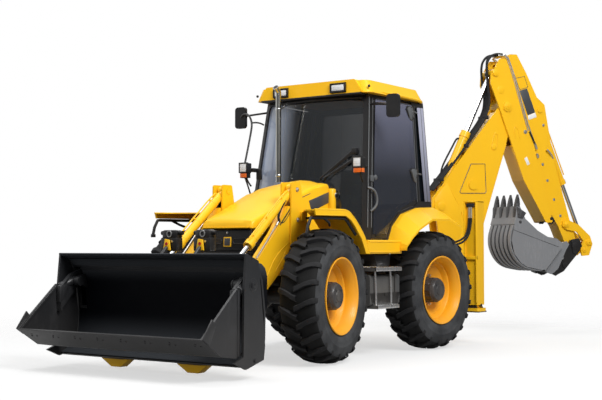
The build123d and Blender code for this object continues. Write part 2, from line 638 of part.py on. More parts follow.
def tipping_lever():
    outline = [(2190, 1570), (2260, 1590), (2450, 1520), (2640, 1360), (2680, 1250), (2620, 1090),
               (2500, 1080), (2480, 1200), (2530, 1290), (2420, 1420), (2250, 1450), (2185, 1500)]
    body = both(side(outline, 118, 140, 18)) + pin(LEVER_PIN, -140, 140, 30)
    body += both(pin(LEVER_PIN, 138, 150, 45)) + both(pin(BUCKET_RAM_EYE, 40, 150, 48))
    return body + both(pin(LINK_PIN, 44, 140, 22)) + both(pin(LINK_PIN, 100, 120, 40))


def tipping_link():
    bar = toward(LINK_PIN, HITCH_LINK_PIN, 30)
    end = toward(HITCH_LINK_PIN, LINK_PIN, 30)
    body = rod((75, *bar), (75, *end), 21) + pin(LINK_PIN, 52, 96, 46) + pin(HITCH_LINK_PIN, 52, 96, 46)
    body -= pin(LINK_PIN, 40, 110, 22 + PIN_GAP)
    return both(body) + block(-60, 60, 2330, 2400, 1040, 1075)


def quick_hitch():
    outline = [(2290, 1300), (2420, 1320), (2470, 1220), (2380, 1080), (2180, 870), (2050, 810), (1950, 850),
               (1935, 930), (2100, 1040), (2250, 1210)]
    body = both(side(outline, 140, 165, 25)) + block(-140, 140, 1980, 2060, 850, 900)
    body += both(pin(HITCH_PIN, 117, 170, 60)) + both(pin(HITCH_LINK_PIN, 101, 168, 40))
    return body - pin(HITCH_PIN, -200, 200, 34 + PIN_GAP)


def bucket():
    outer = [(1345, 1760), (1290, 1450), (1256, 1300), (1300, 1110), (1400, 990), (1500, 935), (1740, 890),
             (1800, 900), (2095, 1240)]
    inner = [(2070, 1250), (1790, 925), (1740, 912), (1510, 957), (1415, 1008), (1320, 1120), (1280, 1300),
             (1312, 1450), (1370, 1755)]
    mouth = [(1970, 1325), (1830, 1345), (1670, 1430), (1475, 1590), (1400, 1740)]
    body = side(outer + inner, -300, 300) + both(side(outer + mouth, 285, 305))
    ear = [(1850, 950), (2090, 1235), (2210, 1290), (2250, 1240), (2200, 1170), (2060, 900), (1960, 830),
           (1880, 860)]
    body += both(side(ear, 172, 200, 20))
    tooth = [(1335, 1650), (1378, 1915), (1395, 1750), (1385, 1650)]
    for x in (-262, -87, 87, 262):
        body += side(tooth, x - 22, x + 22)
    return body


# ---- everything in its place --------------------------------------------------------------
def parts():
    """Every piece by node name, in the part frame."""
    fixed = {
        "chassis_frame": chassis_frame, "loader_towers": loader_towers, "drive_line": drive_line,
        "front_grille": front_grille, "hood": hood, "rear_cowl": rear_cowl, "exhaust_stack": exhaust_stack,
        "front_fenders": front_fenders, "axles": axles, "cab_base": cab_base, "cab_frame": cab_frame,
        "cab_glass": cab_glass, "cab_roof": cab_roof, "seat": seat, "steering_console": steering_console,
        "side_tanks": side_tanks, "lamps": lamps, "mirrors": mirrors, "rear_frame": rear_frame,
        "loader_arms": loader_arms, "lift_ram_barrels": lift_ram_barrels, "lift_ram_rods": lift_ram_rods,
        "tilt_ram_barrels": tilt_ram_barrels, "tilt_ram_rods": tilt_ram_rods,
        "shovel_blade": shovel_blade, "shovel_clam": shovel_clam,
    }
    backhoe = {
        "kingpost": kingpost, "boom": boom, "boom_ram_barrel": boom_ram_barrel, "boom_ram_rod": boom_ram_rod,
        "dipper_ram_barrel": dipper_ram_barrel, "dipper_ram_rod": dipper_ram_rod,
        "dipper_outer": dipper_outer, "dipper_inner": dipper_inner,
        "bucket_ram_barrel": bucket_ram_barrel, "bucket_ram_rod": bucket_ram_rod,
        "tipping_lever": tipping_lever, "tipping_link": tipping_link,
        "quick_hitch": quick_hitch, "bucket": bucket,
    }
    pieces = {name: place(make()) for name, make in fixed.items()}
    pieces.update({name: place(hoe(make())) for name, make in backhoe.items()})
    for side_name, sign in (("left", 1), ("right", -1)):
        pieces[f"door_{side_name}"] = place(door_frame(sign))
        pieces[f"door_glass_{side_name}"] = place(door_glass(sign))
        pieces[f"stabiliser_leg_{side_name}"] = place(stabiliser_leg(sign))
        for end, front in (("front", True), ("rear", False)):
            pieces[f"knuckle_{end}_{side_name}"] = place(knuckle(front, sign))
            pieces[f"rim_{end}_{side_name}"] = place(rim(front, sign))
            pieces[f"tyre_{end}_{side_name}"] = place(tyre(front, sign))
    return pieces


def main():
    os.makedirs("parts", exist_ok=True)
    for name, shape in parts().items():
        export_step(shape, f"parts/{name}.step")


if __name__ == "__main__":
    main()
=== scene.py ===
"""Backhoe loader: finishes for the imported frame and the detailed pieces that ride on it."""

import json
import logging
import math
from dataclasses import dataclass
from enum import Enum
from typing import Callable, Iterable, Sequence

import bmesh
import bpy
from mathutils import Matrix, Vector

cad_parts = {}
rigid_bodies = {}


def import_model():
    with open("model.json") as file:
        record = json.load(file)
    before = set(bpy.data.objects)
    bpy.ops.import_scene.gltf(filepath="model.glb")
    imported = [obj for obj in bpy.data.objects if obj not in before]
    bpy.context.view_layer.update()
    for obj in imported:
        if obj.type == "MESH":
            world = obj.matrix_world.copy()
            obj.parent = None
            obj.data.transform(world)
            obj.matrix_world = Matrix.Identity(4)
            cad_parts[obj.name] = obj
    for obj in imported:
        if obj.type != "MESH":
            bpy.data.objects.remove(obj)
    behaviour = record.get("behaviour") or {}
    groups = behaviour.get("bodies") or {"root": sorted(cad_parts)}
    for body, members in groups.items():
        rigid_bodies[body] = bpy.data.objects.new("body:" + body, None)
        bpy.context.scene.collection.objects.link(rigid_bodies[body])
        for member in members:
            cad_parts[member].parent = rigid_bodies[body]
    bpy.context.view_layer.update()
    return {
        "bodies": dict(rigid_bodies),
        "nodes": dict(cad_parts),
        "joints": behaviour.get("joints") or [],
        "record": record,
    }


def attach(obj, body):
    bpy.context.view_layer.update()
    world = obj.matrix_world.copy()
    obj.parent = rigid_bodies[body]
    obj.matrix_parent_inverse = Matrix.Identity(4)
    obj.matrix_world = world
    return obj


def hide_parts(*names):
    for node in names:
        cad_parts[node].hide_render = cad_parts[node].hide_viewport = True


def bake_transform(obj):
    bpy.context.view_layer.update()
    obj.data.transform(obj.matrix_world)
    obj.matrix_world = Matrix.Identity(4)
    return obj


log = logging.getLogger("loader")
Point = tuple[float, float, float]
Flat = tuple[float, float]

# ---- layout shared with the frame, in metres ----
SHIFT = Vector((-0.1722, -1.826445, 0.0))
SLEW_Y = 3.58
SLEW = math.radians(33.0)
WHEELBASE = 2.22
HUB_Z = 0.697
WHEEL_X = 0.91
KINGPIN_X = 0.745
STEER = {"front": math.radians(8.7), "rear": math.radians(-4.6)}

MACHINE = Matrix.Translation(SHIFT)
HOE = MACHINE @ Matrix.Translation((0.0, SLEW_Y, 0.0)) @ Matrix.Rotation(-SLEW, 4, "Z")
MIRROR_X = Matrix.Scale(-1.0, 4, (1.0, 0.0, 0.0))


class Side(Enum):
    """Left is +X, right is -X."""

    LEFT = 1
    RIGHT = -1

    @property
    def word(self) -> str:
        """Lower-case name used in node and body names."""
        return self.name.lower()

    @property
    def place(self) -> Matrix:
        """Matrix that takes a piece drawn on the left to this side."""
        return MACHINE if self is Side.LEFT else MACHINE @ MIRROR_X


class End(Enum):
    """Front or rear axle."""

    FRONT = "front"
    REAR = "rear"

    @property
    def axle_y(self) -> float:
        """Distance of the axle behind the front one."""
        return 0.0 if self is End.FRONT else WHEELBASE


# ---- shader maths ----
class Sock:
    """A node socket that adds Math nodes when it is used in an expression."""

    def __init__(self, graph: "Graph", socket: bpy.types.NodeSocket) -> None:
        """Keep the graph and the output socket."""
        self.graph = graph
        self.socket = socket

    def _math(self, operation: str, *values: "Sock | float", clamp: bool = False) -> "Sock":
        """Add one Math node."""
        return self.graph.node("ShaderNodeMath", {"operation": operation, "use_clamp": clamp},
                               dict(enumerate(values)))

    def __add__(self, other: "Sock | float") -> "Sock":
        """Sum."""
        return self._math("ADD", self, other)

    __radd__ = __add__

    def __sub__(self, other: "Sock | float") -> "Sock":
        """Difference."""
        return self._math("SUBTRACT", self, other)

    def __rsub__(self, other: float) -> "Sock":
        """Number minus this."""
        return self._math("SUBTRACT", other, self)

    def __mul__(self, other: "Sock | float") -> "Sock":
        """Product."""
        return self._math("MULTIPLY", self, other)

    def clamp(self) -> "Sock":
        """Held between 0 and 1."""
        return self._math("ADD", self, 0.0, clamp=True)

    def power(self, exponent: float) -> "Sock":
        """Raised to an exponent."""
        return self._math("POWER", self, exponent)

    def sine(self) -> "Sock":
        """Sine of the value."""
        return self._math("SINE", self)

    def step(self, low: float, high: float) -> "Sock":
        """Smooth 0 to 1 between two values."""
        return self.graph.node("ShaderNodeMapRange", {"interpolation_type": "SMOOTHSTEP"},
                               {0: self, 1: low, 2: high, 3: 0.0, 4: 1.0})


class Graph:
    """Node tree of one material."""

    def __init__(self, name: str) -> None:
        """Start an empty material with a Principled shader."""
        self.material = bpy.data.materials.new(name)
        self.material.use_nodes = True
        self.tree = self.material.node_tree
        self.tree.nodes.clear()
        output = self.tree.nodes.new("ShaderNodeOutputMaterial")
        self.shader = self.tree.nodes.new("ShaderNodeBsdfPrincipled")
        self.tree.links.new(self.shader.outputs[0], output.inputs[0])
        self._coords: Sock | None = None

    def node(self, kind: str, settings: dict, inputs: dict, out: int | str = 0) -> Sock:
        """Add a node.

        Args:
            kind: node type.
            settings: attributes set before the inputs.
            inputs: socket index or name to value or Sock.
            out: output socket to return.

        Returns:
            The chosen output, wrapped.
        """
        made = self.tree.nodes.new(kind)
        for key, value in settings.items():
            setattr(made, key, value)
        for key, value in inputs.items():
            self._feed(made.inputs[key], value)
        return Sock(self, made.outputs[out])

    def _feed(self, socket: bpy.types.NodeSocket, value: object) -> None:
        """Link or set one input."""
        if isinstance(value, Sock):
            self.tree.links.new(value.socket, socket)
        else:
            socket.default_value = value

    def set(self, **values: object) -> None:
        """Set or link inputs of the Principled shader; underscores stand for spaces."""
        for key, value in values.items():
            self._feed(self.shader.inputs[key.replace("_", " ")], value)

    def coords(self) -> Sock:
        """Object coordinates."""
        if self._coords is None:
            self._coords = self.node("ShaderNodeTexCoord", {}, {}, out="Object")
        return self._coords

    def axis(self, index: int) -> Sock:
        """One component of the object coordinates."""
        return self.node("ShaderNodeSeparateXYZ", {}, {0: self.coords()}, out=index)

    def noise(self, scale: float, detail: float = 3.0, stretch: Point | None = None,
              rough: float = 0.5) -> Sock:
        """Noise value at a scale, in repeats per metre."""
        vector = self.coords()
        if stretch:
            vector = self.node("ShaderNodeMapping", {}, {"Vector": vector, "Scale": stretch})
        return self.node("ShaderNodeTexNoise", {},
                         {"Vector": vector, "Scale": scale, "Detail": detail, "Roughness": rough})

    def mix(self, mask: "Sock | float", first: object, second: object) -> Sock:
        """Colour between two colours by a mask."""
        made = self.tree.nodes.new("ShaderNodeMix")
        made.data_type = "RGBA"
        for index, value in ((0, mask), (6, first), (7, second)):
            self._feed(made.inputs[index], value)
        return Sock(self, made.outputs[2])

    def bump(self, height: Sock, strength: float, distance: float) -> Sock:
        """Bump from a height."""
        return self.node("ShaderNodeBump", {}, {"Strength": strength, "Distance": distance, "Height": height})


def rgba(colour: Sequence[float]) -> tuple[float, float, float, float]:
    """Opaque colour."""
    return (colour[0], colour[1], colour[2], 1.0)


# ---- finishes ----
@dataclass(frozen=True)
class Enamel:
    """Sprayed enamel with faint orange peel, thin dust low down and streaks."""

    name: str
    colour: Point
    shade: Point
    roughness: float = 0.3
    coat: float = 0.35
    dust: float = 0.1

    def build(self) -> bpy.types.Material:
        """Make the material."""
        g = Graph(self.name)
        broad = g.noise(1.6, 4.0)
        fine = g.noise(38.0, 3.0)
        streak = g.noise(9.0, 4.0, (1.0, 1.0, 0.12))
        low = 1.0 - g.axis(2).step(0.1, 1.5)
        mask = (low * self.dust * 2.2 + self.dust * 0.5) * (broad * 0.7 + streak * 0.6).step(0.35, 0.95)
        base = g.mix((broad - 0.3).clamp() * 0.9, rgba(self.colour), rgba(self.shade))
        dusty = tuple(0.55 * c + 0.45 * d for c, d in zip(self.shade, (0.36, 0.31, 0.24)))
        g.set(Base_Color=g.mix(mask.clamp(), base, rgba(dusty)),
              Roughness=(self.roughness + mask * 0.5 + fine * 0.06 - 0.03).clamp(),
              Coat_Weight=self.coat, Coat_Roughness=0.12, Specular_IOR_Level=0.3,
              Normal=g.bump(g.noise(210.0, 2.0), 0.035, 0.0012))
        return g.material


@dataclass(frozen=True)
class WornSteel:
    """Dark painted steel rubbed through to bare metal in scratches."""

    name: str
    colour: Point
    bare: Point
    wear: float = 0.25
    roughness: float = 0.45
    stretch: Point = (1.0, 1.0, 1.0)

    def build(self) -> bpy.types.Material:
        """Make the material."""
        g = Graph(self.name)
        patch = g.noise(3.2, 5.0)
        scratch = g.noise(34.0, 5.0, self.stretch, 0.7)
        mask = ((patch - 0.42) * 1.3 + (scratch - 0.5) * 2.2).step(0.1, 0.75) * self.wear
        low = (1.0 - g.axis(2).step(0.0, 1.1)) * 0.12 * patch
        base = g.mix(mask, rgba(self.colour), rgba(self.bare))
        g.set(Base_Color=g.mix(low, base, (0.2, 0.17, 0.14, 1.0)),
              Roughness=(self.roughness + (patch - 0.5) * 0.25 + mask * 0.1).clamp(),
              Metallic=(mask * 0.6).clamp(), Coat_Weight=0.08, Coat_Roughness=0.3,
              Normal=g.bump(scratch + g.noise(160.0, 2.0) * 0.4, 0.06, 0.002))
        return g.material


@dataclass(frozen=True)
class DeepPaint:
    """Black paint inside the shovel, with painted shade near black deep in the hollow and a painted grey
    reflection towards the rim and the floor.
    """

    name: str
    # deep is the painted shade in the hollow; rim is the painted grey reflection at the rim and the floor
    deep: Point
    rim: Point
    roughness: float

    def build(self) -> bpy.types.Material:
        """Make the material."""
        g = Graph(self.name)
        height = g.axis(2)
        patch = g.noise(2.4, 4.0)
        # painted light by height alone: grey at the top rim and the floor, near black between
        edge = height.step(0.84, 1.1) + (1.0 - height.step(0.22, 0.56))
        mask = (edge + (patch - 0.5) * 0.1).clamp()
        g.set(Base_Color=g.mix(mask, rgba(self.deep), rgba(self.rim)),
              Roughness=(self.roughness + patch * 0.14).clamp(), Specular_IOR_Level=0.1,
              Normal=g.bump(g.noise(150.0, 3.0), 0.04, 0.0015))
        return g.material


@dataclass(frozen=True)
class Chrome:
    """Bright plated or zinc metal with faint smears."""

    name: str
    colour: Point
    roughness: float = 0.08

    def build(self) -> bpy.types.Material:
        """Make the material."""
        g = Graph(self.name)
        smear = g.noise(22.0, 4.0, (1.0, 1.0, 0.3))
        g.set(Base_Color=g.mix(smear.step(0.45, 0.8) * 0.35, rgba(self.colour),
                               rgba(tuple(c * 0.72 for c in self.colour))),
              Roughness=(self.roughness + smear * 0.12).clamp(), Metallic=1.0,
              Normal=g.bump(g.noise(180.0, 2.0), 0.02, 0.0008))
        return g.material


@dataclass(frozen=True)
class Rubber:
    """Dark rubber with grey dust in patches."""

    name: str
    colour: Point
    dust: Point
    amount: float

    def build(self) -> bpy.types.Material:
        """Make the material."""
        g = Graph(self.name)
        patch = g.noise(5.0, 5.0)
        grit = g.noise(120.0, 3.0)
        mask = (patch * 0.8 + grit * 0.3).step(0.35, 0.85) * self.amount
        g.set(Base_Color=g.mix(mask, rgba(self.colour), rgba(self.dust)),
              Roughness=(0.66 + patch * 0.25).clamp(), Specular_IOR_Level=0.3,
              Normal=g.bump(grit + g.noise(400.0, 2.0) * 0.5, 0.12, 0.002))
        return g.material


@dataclass(frozen=True)
class Plastic:
    """Moulded plastic with a fine grain."""

    name: str
    colour: Point
    roughness: float = 0.5
    grain: float = 0.15
    scale: float = 420.0

    def build(self) -> bpy.types.Material:
        """Make the material."""
        g = Graph(self.name)
        broad = g.noise(7.0, 3.0)
        g.set(Base_Color=g.mix(broad.step(0.3, 0.8) * 0.5, rgba(self.colour),
                               rgba(tuple(min(1.0, c * 1.25 + 0.004) for c in self.colour))),
              Roughness=(self.roughness + broad * 0.14 - 0.07).clamp(),
              Normal=g.bump(g.noise(self.scale, 3.0), self.grain, 0.0015))
        return g.material


@dataclass(frozen=True)
class Glass:
    """Tinted safety glass that pales towards one side, where it mirrors the sky."""

    name: str
    tint: Point
    sky: Point
    cover: float
    index: int
    start: float
    end: float

    def build(self) -> bpy.types.Material:
        """Make the material."""
        g = Graph(self.name)
        film = g.noise(2.5, 3.0)
        pale = (g.axis(self.index) - self.start) * (1.0 / (self.end - self.start)) + (film - 0.5) * 0.12
        g.set(Base_Color=g.mix(pale.clamp(), rgba(self.tint), rgba(self.sky)),
              Roughness=(0.04 + film * 0.03).clamp(),
              Alpha=(self.cover + pale.clamp() * 0.2).clamp(), Coat_Weight=0.5, Coat_Roughness=0.03, IOR=1.7)
        return g.material


@dataclass(frozen=True)
class Lens:
    """Lamp lens with a moulded flute pattern."""

    name: str
    colour: Point
    dark: Point
    pitch: float = 420.0

    def build(self) -> bpy.types.Material:
        """Make the material."""
        g = Graph(self.name)
        flute = (g.axis(0) * self.pitch).sine() * 0.5 + 0.5
        cell = (g.axis(2) * self.pitch * 0.6).sine() * 0.5 + 0.5
        g.set(Base_Color=g.mix(flute * 0.45 + cell * 0.25, rgba(self.colour), rgba(self.dark)),
              Roughness=(0.1 + flute * 0.08).clamp(), Coat_Weight=1.0, Coat_Roughness=0.04,
              Normal=g.bump(flute + cell, 0.2, 0.002))
        return g.material


@dataclass(frozen=True)
class Cloth:
    """Woven seat cloth."""

    name: str
    colour: Point
    light: Point

    def build(self) -> bpy.types.Material:
        """Make the material."""
        g = Graph(self.name)
        warp = (g.axis(0) * 2600.0).sine() * (g.axis(1) * 2600.0).sine() * 0.5 + 0.5
        rise = (g.axis(2) * 2600.0).sine() * 0.5 + 0.5
        fuzz = g.noise(300.0, 4.0)
        g.set(Base_Color=g.mix((warp * 0.5 + fuzz * 0.5).clamp(), rgba(self.colour), rgba(self.light)),
              Roughness=(0.85 + fuzz * 0.1).clamp(), Sheen_Weight=0.25,
              Normal=g.bump(warp + rise * 0.5 + fuzz * 0.4, 0.25, 0.001))
        return g.material


FINISHES = (
    Enamel("yellow_enamel", (0.92, 0.515, 0.01), (0.88, 0.465, 0.008), 0.34, 0.06, 0.06),
    # more orange copy of the yellow enamel for the wheel dishes: painted shade on faces turned away from the
    # light
    Enamel("rim_enamel", (0.9, 0.39, 0.009), (0.82, 0.33, 0.007), 0.38, 0.06, 0.12),
    Enamel("black_enamel", (0.009, 0.009, 0.01), (0.016, 0.016, 0.017), 0.36, 0.15, 0.08),
    Enamel("hub_enamel", (0.03, 0.03, 0.033), (0.055, 0.055, 0.058), 0.42, 0.15, 0.25),
    Enamel("tank_enamel", (0.05, 0.052, 0.055), (0.07, 0.072, 0.075), 0.42, 0.1, 0.25),
    WornSteel("shovel_steel", (0.015, 0.016, 0.018), (0.09, 0.09, 0.1), 0.16, 0.36, (1.0, 1.0, 0.15)),
    # shovel liner: painted shade deep in the hollow and a painted grey reflection at its rim and floor
    DeepPaint("shovel_liner", (0.0008, 0.0012, 0.0024), (0.044, 0.048, 0.054), 0.45),
    WornSteel("bucket_steel", (0.2, 0.205, 0.215), (0.34, 0.34, 0.35), 0.45, 0.42, (1.0, 1.0, 0.2)),
    WornSteel("tooth_steel", (0.03, 0.03, 0.032), (0.22, 0.22, 0.23), 0.35, 0.5),
    WornSteel("casting_iron", (0.06, 0.06, 0.063), (0.12, 0.12, 0.12), 0.3, 0.6),
    Chrome("chrome_plate", (0.66, 0.68, 0.7), 0.12),
    Chrome("pipe_steel", (0.46, 0.46, 0.43), 0.16),
    Chrome("zinc_plate", (0.66, 0.66, 0.65), 0.28),
    Chrome("bright_tread", (0.8, 0.8, 0.8), 0.22),
    Chrome("mirror_face", (0.85, 0.87, 0.9), 0.03),
    Rubber("tyre_tread", (0.009, 0.009, 0.01), (0.032, 0.032, 0.033), 0.5),
    # darker copy of the tread rubber for the carcass between the lugs: painted shade in the gaps
    Rubber("tyre_gap", (0.004, 0.004, 0.004), (0.012, 0.012, 0.012), 0.3),
    Rubber("tyre_wall", (0.022, 0.023, 0.025), (0.085, 0.088, 0.092), 0.8),
    Rubber("hose_rubber", (0.012, 0.012, 0.013), (0.05, 0.05, 0.05), 0.25),
    Plastic("black_plastic", (0.008, 0.008, 0.009), 0.45, 0.1),
    Plastic("grey_plastic", (0.09, 0.095, 0.1), 0.45, 0.1),
    Plastic("panel_grey", (0.055, 0.058, 0.065), 0.35, 0.03),
    Plastic("white_band", (0.75, 0.75, 0.74), 0.4, 0.03),
    Glass("screen_glass", (0.006, 0.009, 0.012), (0.5, 0.59, 0.78), 0.6, 0, -0.38, -0.9),
    Glass("door_glass", (0.016, 0.02, 0.032), (0.22, 0.23, 0.33), 0.56, 2, 2.0, 3.2),
    Glass("quarter_glass", (0.16, 0.17, 0.22), (0.4, 0.41, 0.52), 0.85, 2, 1.75, 2.6),
    Lens("lamp_lens", (0.82, 0.84, 0.86), (0.45, 0.47, 0.5)),
    Lens("amber_lens", (0.8, 0.16, 0.01), (0.55, 0.09, 0.005)),
    Lens("red_lens", (0.55, 0.01, 0.01), (0.3, 0.005, 0.005)),
    Cloth("seat_cloth", (0.02, 0.021, 0.024), (0.07, 0.07, 0.075)),
)
MATERIAL: dict[str, bpy.types.Material] = {}


# ---- mesh building ----
class Shaper:
    """Builds one piece out of bmesh shapes, each placed by a matrix."""

    def __init__(self, place: Matrix = MACHINE) -> None:
        """Start empty; every shape is moved by `place`."""
        self.mesh = bmesh.new()
        self.place = place

    def _settle(self, verts: Iterable[bmesh.types.BMVert], local: Matrix | None = None) -> None:
        """Apply a local matrix and then the piece's own place."""
        matrix = self.place @ local if local else self.place
        verts = list(verts)
        bmesh.ops.transform(self.mesh, matrix=matrix, verts=verts)
        if matrix.determinant() < 0.0:
            faces = {face for vert in verts for face in vert.link_faces}
            bmesh.ops.reverse_faces(self.mesh, faces=list(faces))

    def _soften(self, verts: list[bmesh.types.BMVert], width: float, segments: int,
                sharp: float = 0.5) -> list[bmesh.types.BMVert]:
        """Bevel the sharp edges of the newest shape.

        Args:
            verts: vertices of the shape.
            width: bevel width.
            segments: bevel segments.
            sharp: smallest edge angle that is bevelled.

        Returns:
            All vertices of the bevelled shape.
        """
        if width <= 0.0:
            return verts
        known = set(self.mesh.verts) - set(verts)
        edges = {e for v in verts for e in v.link_edges if len(e.link_faces) == 2
                 and e.calc_face_angle(0.0) > sharp}
        bmesh.ops.bevel(self.mesh, geom=list(edges), offset=width, segments=segments, profile=0.5,
                        affect="EDGES", offset_type="OFFSET", material=-1, clamp_overlap=True)
        return [v for v in self.mesh.verts if v not in known]

    def block(self, low: Point, high: Point, soft: float = 0.003, segments: int = 2,
              turn: Matrix | None = None) -> "Shaper":
        """Box between two corners with softened edges."""
        made = bmesh.ops.create_cube(self.mesh, size=1.0)["verts"]
        size = [max(1e-5, b - a) for a, b in zip(low, high)]
        bmesh.ops.scale(self.mesh, vec=size, verts=made)
        middle = [(a + b) / 2 for a, b in zip(low, high)]
        made = self._soften(made, min(soft, min(size) * 0.45), segments)
        self._settle(made, (turn or Matrix()) @ Matrix.Translation(middle))
        return self

    def rod(self, start: Point, end: Point, radius: float, sides: int = 20, tip: float | None = None,
            soft: float = 0.0) -> "Shaper":
        """Round bar or cone between two points."""
        a, b = Vector(start), Vector(end)
        length = (b - a).length
        made = bmesh.ops.create_cone(self.mesh, cap_ends=True, segments=sides, radius1=radius,
                                     radius2=radius if tip is None else tip, depth=length)["verts"]
        made = self._soften(made, soft, 2, 0.9)
        turn = (b - a).to_track_quat("Z", "Y").to_matrix().to_4x4()
        self._settle(made, Matrix.Translation((a + b) / 2) @ turn)
        return self

    def ball(self, centre: Point, radius: float, squash: Point = (1.0, 1.0, 1.0)) -> "Shaper":
        """Round or flattened ball."""
        made = bmesh.ops.create_uvsphere(self.mesh, u_segments=20, v_segments=12, radius=radius)["verts"]
        bmesh.ops.scale(self.mesh, vec=squash, verts=made)
        self._settle(made, Matrix.Translation(centre))
        return self

    def bolt(self, centre: Point, axis: Point, radius: float = 0.012, height: float = 0.01,
             washer: bool = True) -> "Shaper":
        """Hexagon head on a washer, standing along an axis."""
        unit = Vector(axis).normalized()
        foot = Vector(centre)
        if washer:
            self.rod(foot - unit * 0.001, foot + unit * height * 0.25, radius * 1.55, 16)
            foot = foot + unit * height * 0.25
        self.rod(foot, foot + unit * height, radius, 6)
        return self

    def cap(self, centre: Point, axis: Point, radius: float, height: float) -> "Shaper":
        """Round pin head with a turned step and a grease nipple."""
        unit = Vector(axis).normalized()
        foot = Vector(centre)
        self.rod(foot - unit * 0.002, foot + unit * height * 0.6, radius, 28, soft=0.002)
        self.rod(foot + unit * height * 0.55, foot + unit * height, radius * 0.72, 28, soft=0.002)
        self.rod(foot + unit * height, foot + unit * (height + 0.008), radius * 0.14, 8)
        return self

    def spin(self, outline: Sequence[Flat], centre: Point, steps: int = 64,
             turn: Matrix | None = None) -> "Shaper":
        """Turn an outline of (offset along X, radius) points about the X axis through a centre."""
        verts = [self.mesh.verts.new((along, radius, 0.0)) for along, radius in outline]
        edges = [self.mesh.edges.new(pair) for pair in zip(verts, verts[1:] + verts[:1])]
        made = bmesh.ops.spin(self.mesh, geom=verts + edges, cent=(0, 0, 0), axis=(1, 0, 0),
                              angle=math.tau, steps=steps, use_merge=True)
        ring = {v for v in verts if v.is_valid}
        front = list(ring)
        while front:
            vert = front.pop()
            for edge in vert.link_edges:
                other = edge.other_vert(vert)
                if other not in ring:
                    ring.add(other)
                    front.append(other)
        shell = list(ring)
        bmesh.ops.remove_doubles(self.mesh, verts=shell, dist=1e-5)
        shell = [v for v in shell if v.is_valid]
        faces = list({f for v in shell for f in v.link_faces})
        bmesh.ops.recalc_face_normals(self.mesh, faces=faces)
        self._settle(shell, Matrix.Translation(centre) @ (turn or Matrix()))
        return self

    def collar(self, start: Sequence[float], end: Sequence[float], outer: float, inner: float) -> "Shaper":
        """Ring between two points, open in the middle."""
        first, last = Vector(start), Vector(end)
        half = (last - first).length / 2
        turn = (last - first).to_track_quat("X", "Z").to_matrix().to_4x4()
        section = [(-half, inner), (half, inner), (half, outer), (-half, outer)]
        return self.spin(section, tuple((first + last) / 2), 32, turn)

    def plate(self, outline: Sequence[Flat], low: float, high: float, soft: float = 0.003,
              plane: str = "X") -> "Shaper":
        """Plate with a flat outline.

        Args:
            outline: points (y, z) for plane X, (x, z) for plane Y, (x, y) for plane Z.
            low: where the plate starts along the plane's axis.
            high: where it ends.
            soft: bevel width.
            plane: axis the plate is thick along.

        Returns:
            This shaper.
        """
        spread: dict[str, Callable[[float, float], Point]] = {
            "X": lambda a, b: (low, a, b), "Y": lambda a, b: (a, low, b), "Z": lambda a, b: (a, b, low)}
        along = {"X": Vector((1, 0, 0)), "Y": Vector((0, 1, 0)), "Z": Vector((0, 0, 1))}[plane]
        verts = [self.mesh.verts.new(spread[plane](a, b)) for a, b in outline]
        face = self.mesh.faces.new(verts)
        grown = bmesh.ops.extrude_face_region(self.mesh, geom=[face])["geom"]
        moved = [g for g in grown if isinstance(g, bmesh.types.BMVert)]
        bmesh.ops.translate(self.mesh, vec=along * (high - low), verts=moved)
        shape = verts + moved
        faces = list({f for v in shape for f in v.link_faces})
        bmesh.ops.recalc_face_normals(self.mesh, faces=faces)
        shape = self._soften(shape, soft, 2)
        self._settle(shape)
        return self

    def sweep(self, points: Sequence[Point], radius: float, sides: int = 10,
              smooth: bool = True) -> "Shaper":
        """Round tube along a smooth line through or near some points."""
        curve = bpy.data.curves.new("run", "CURVE")
        curve.dimensions = "3D"
        curve.bevel_depth = radius
        curve.bevel_resolution = max(1, sides // 4)
        curve.use_fill_caps = True
        curve.resolution_u = 5
        spline = curve.splines.new("NURBS" if smooth else "POLY")
        spline.points.add(len(points) - 1)
        for knot, point in zip(spline.points, points):
            knot.co = (*point, 1.0)
        if smooth:
            spline.order_u = 4 if len(points) > 3 else 3
            spline.use_endpoint_u = True
        holder = bpy.data.objects.new("run", curve)
        made = bpy.data.meshes.new_from_object(holder)
        known = set(self.mesh.verts)
        self.mesh.from_mesh(made)
        verts = [v for v in self.mesh.verts if v not in known]
        bpy.data.objects.remove(holder)
        bpy.data.curves.remove(curve)
        bpy.data.meshes.remove(made)
        bmesh.ops.remove_doubles(self.mesh, verts=verts, dist=1e-6)
        verts = [v for v in verts if v.is_valid]
        bmesh.ops.recalc_face_normals(self.mesh, faces=list({f for v in verts for f in v.link_faces}))
        self._settle(verts)
        return self

    def loft(self, rings: Sequence[Sequence[Point]]) -> "Shaper":
        """Closed skin over rings that have the same number of points."""
        rows = [[self.mesh.verts.new(point) for point in ring] for ring in rings]
        for first, second in zip(rows, rows[1:]):
            for index in range(len(first)):
                after = (index + 1) % len(first)
                self.mesh.faces.new((first[index], first[after], second[after], second[index]))
        self.mesh.faces.new(rows[0])
        self.mesh.faces.new(rows[-1])
        verts = [v for row in rows for v in row]
        bmesh.ops.recalc_face_normals(self.mesh, faces=list({f for v in verts for f in v.link_faces}))
        self._settle(verts)
        return self

    def strip(self, line: Sequence[Sequence[float]], low: float, high: float, thick: float) -> "Shaper":
        """Sheet that follows an open (y, z) line between two x values, thickened to its left."""
        rings = []
        for index, point in enumerate(line):
            before, after = line[max(0, index - 1)], line[min(len(line) - 1, index + 1)]
            run = (Vector(after) - Vector(before)).normalized()
            y, z = point[0] - run.y * thick, point[1] + run.x * thick
            rings.append([(low, point[0], point[1]), (high, point[0], point[1]), (high, y, z), (low, y, z)])
        return self.loft(rings)

    def skin(self, outline: Sequence[Flat], out: float, thick: float) -> "Shaper":
        """Thin sheet (y, z) laid on the cab's left side plane, a distance outside it."""
        rings = [[on_side(y, z, out + extra) for y, z in outline] for extra in (thick, 0.0)]
        return self.loft(rings)

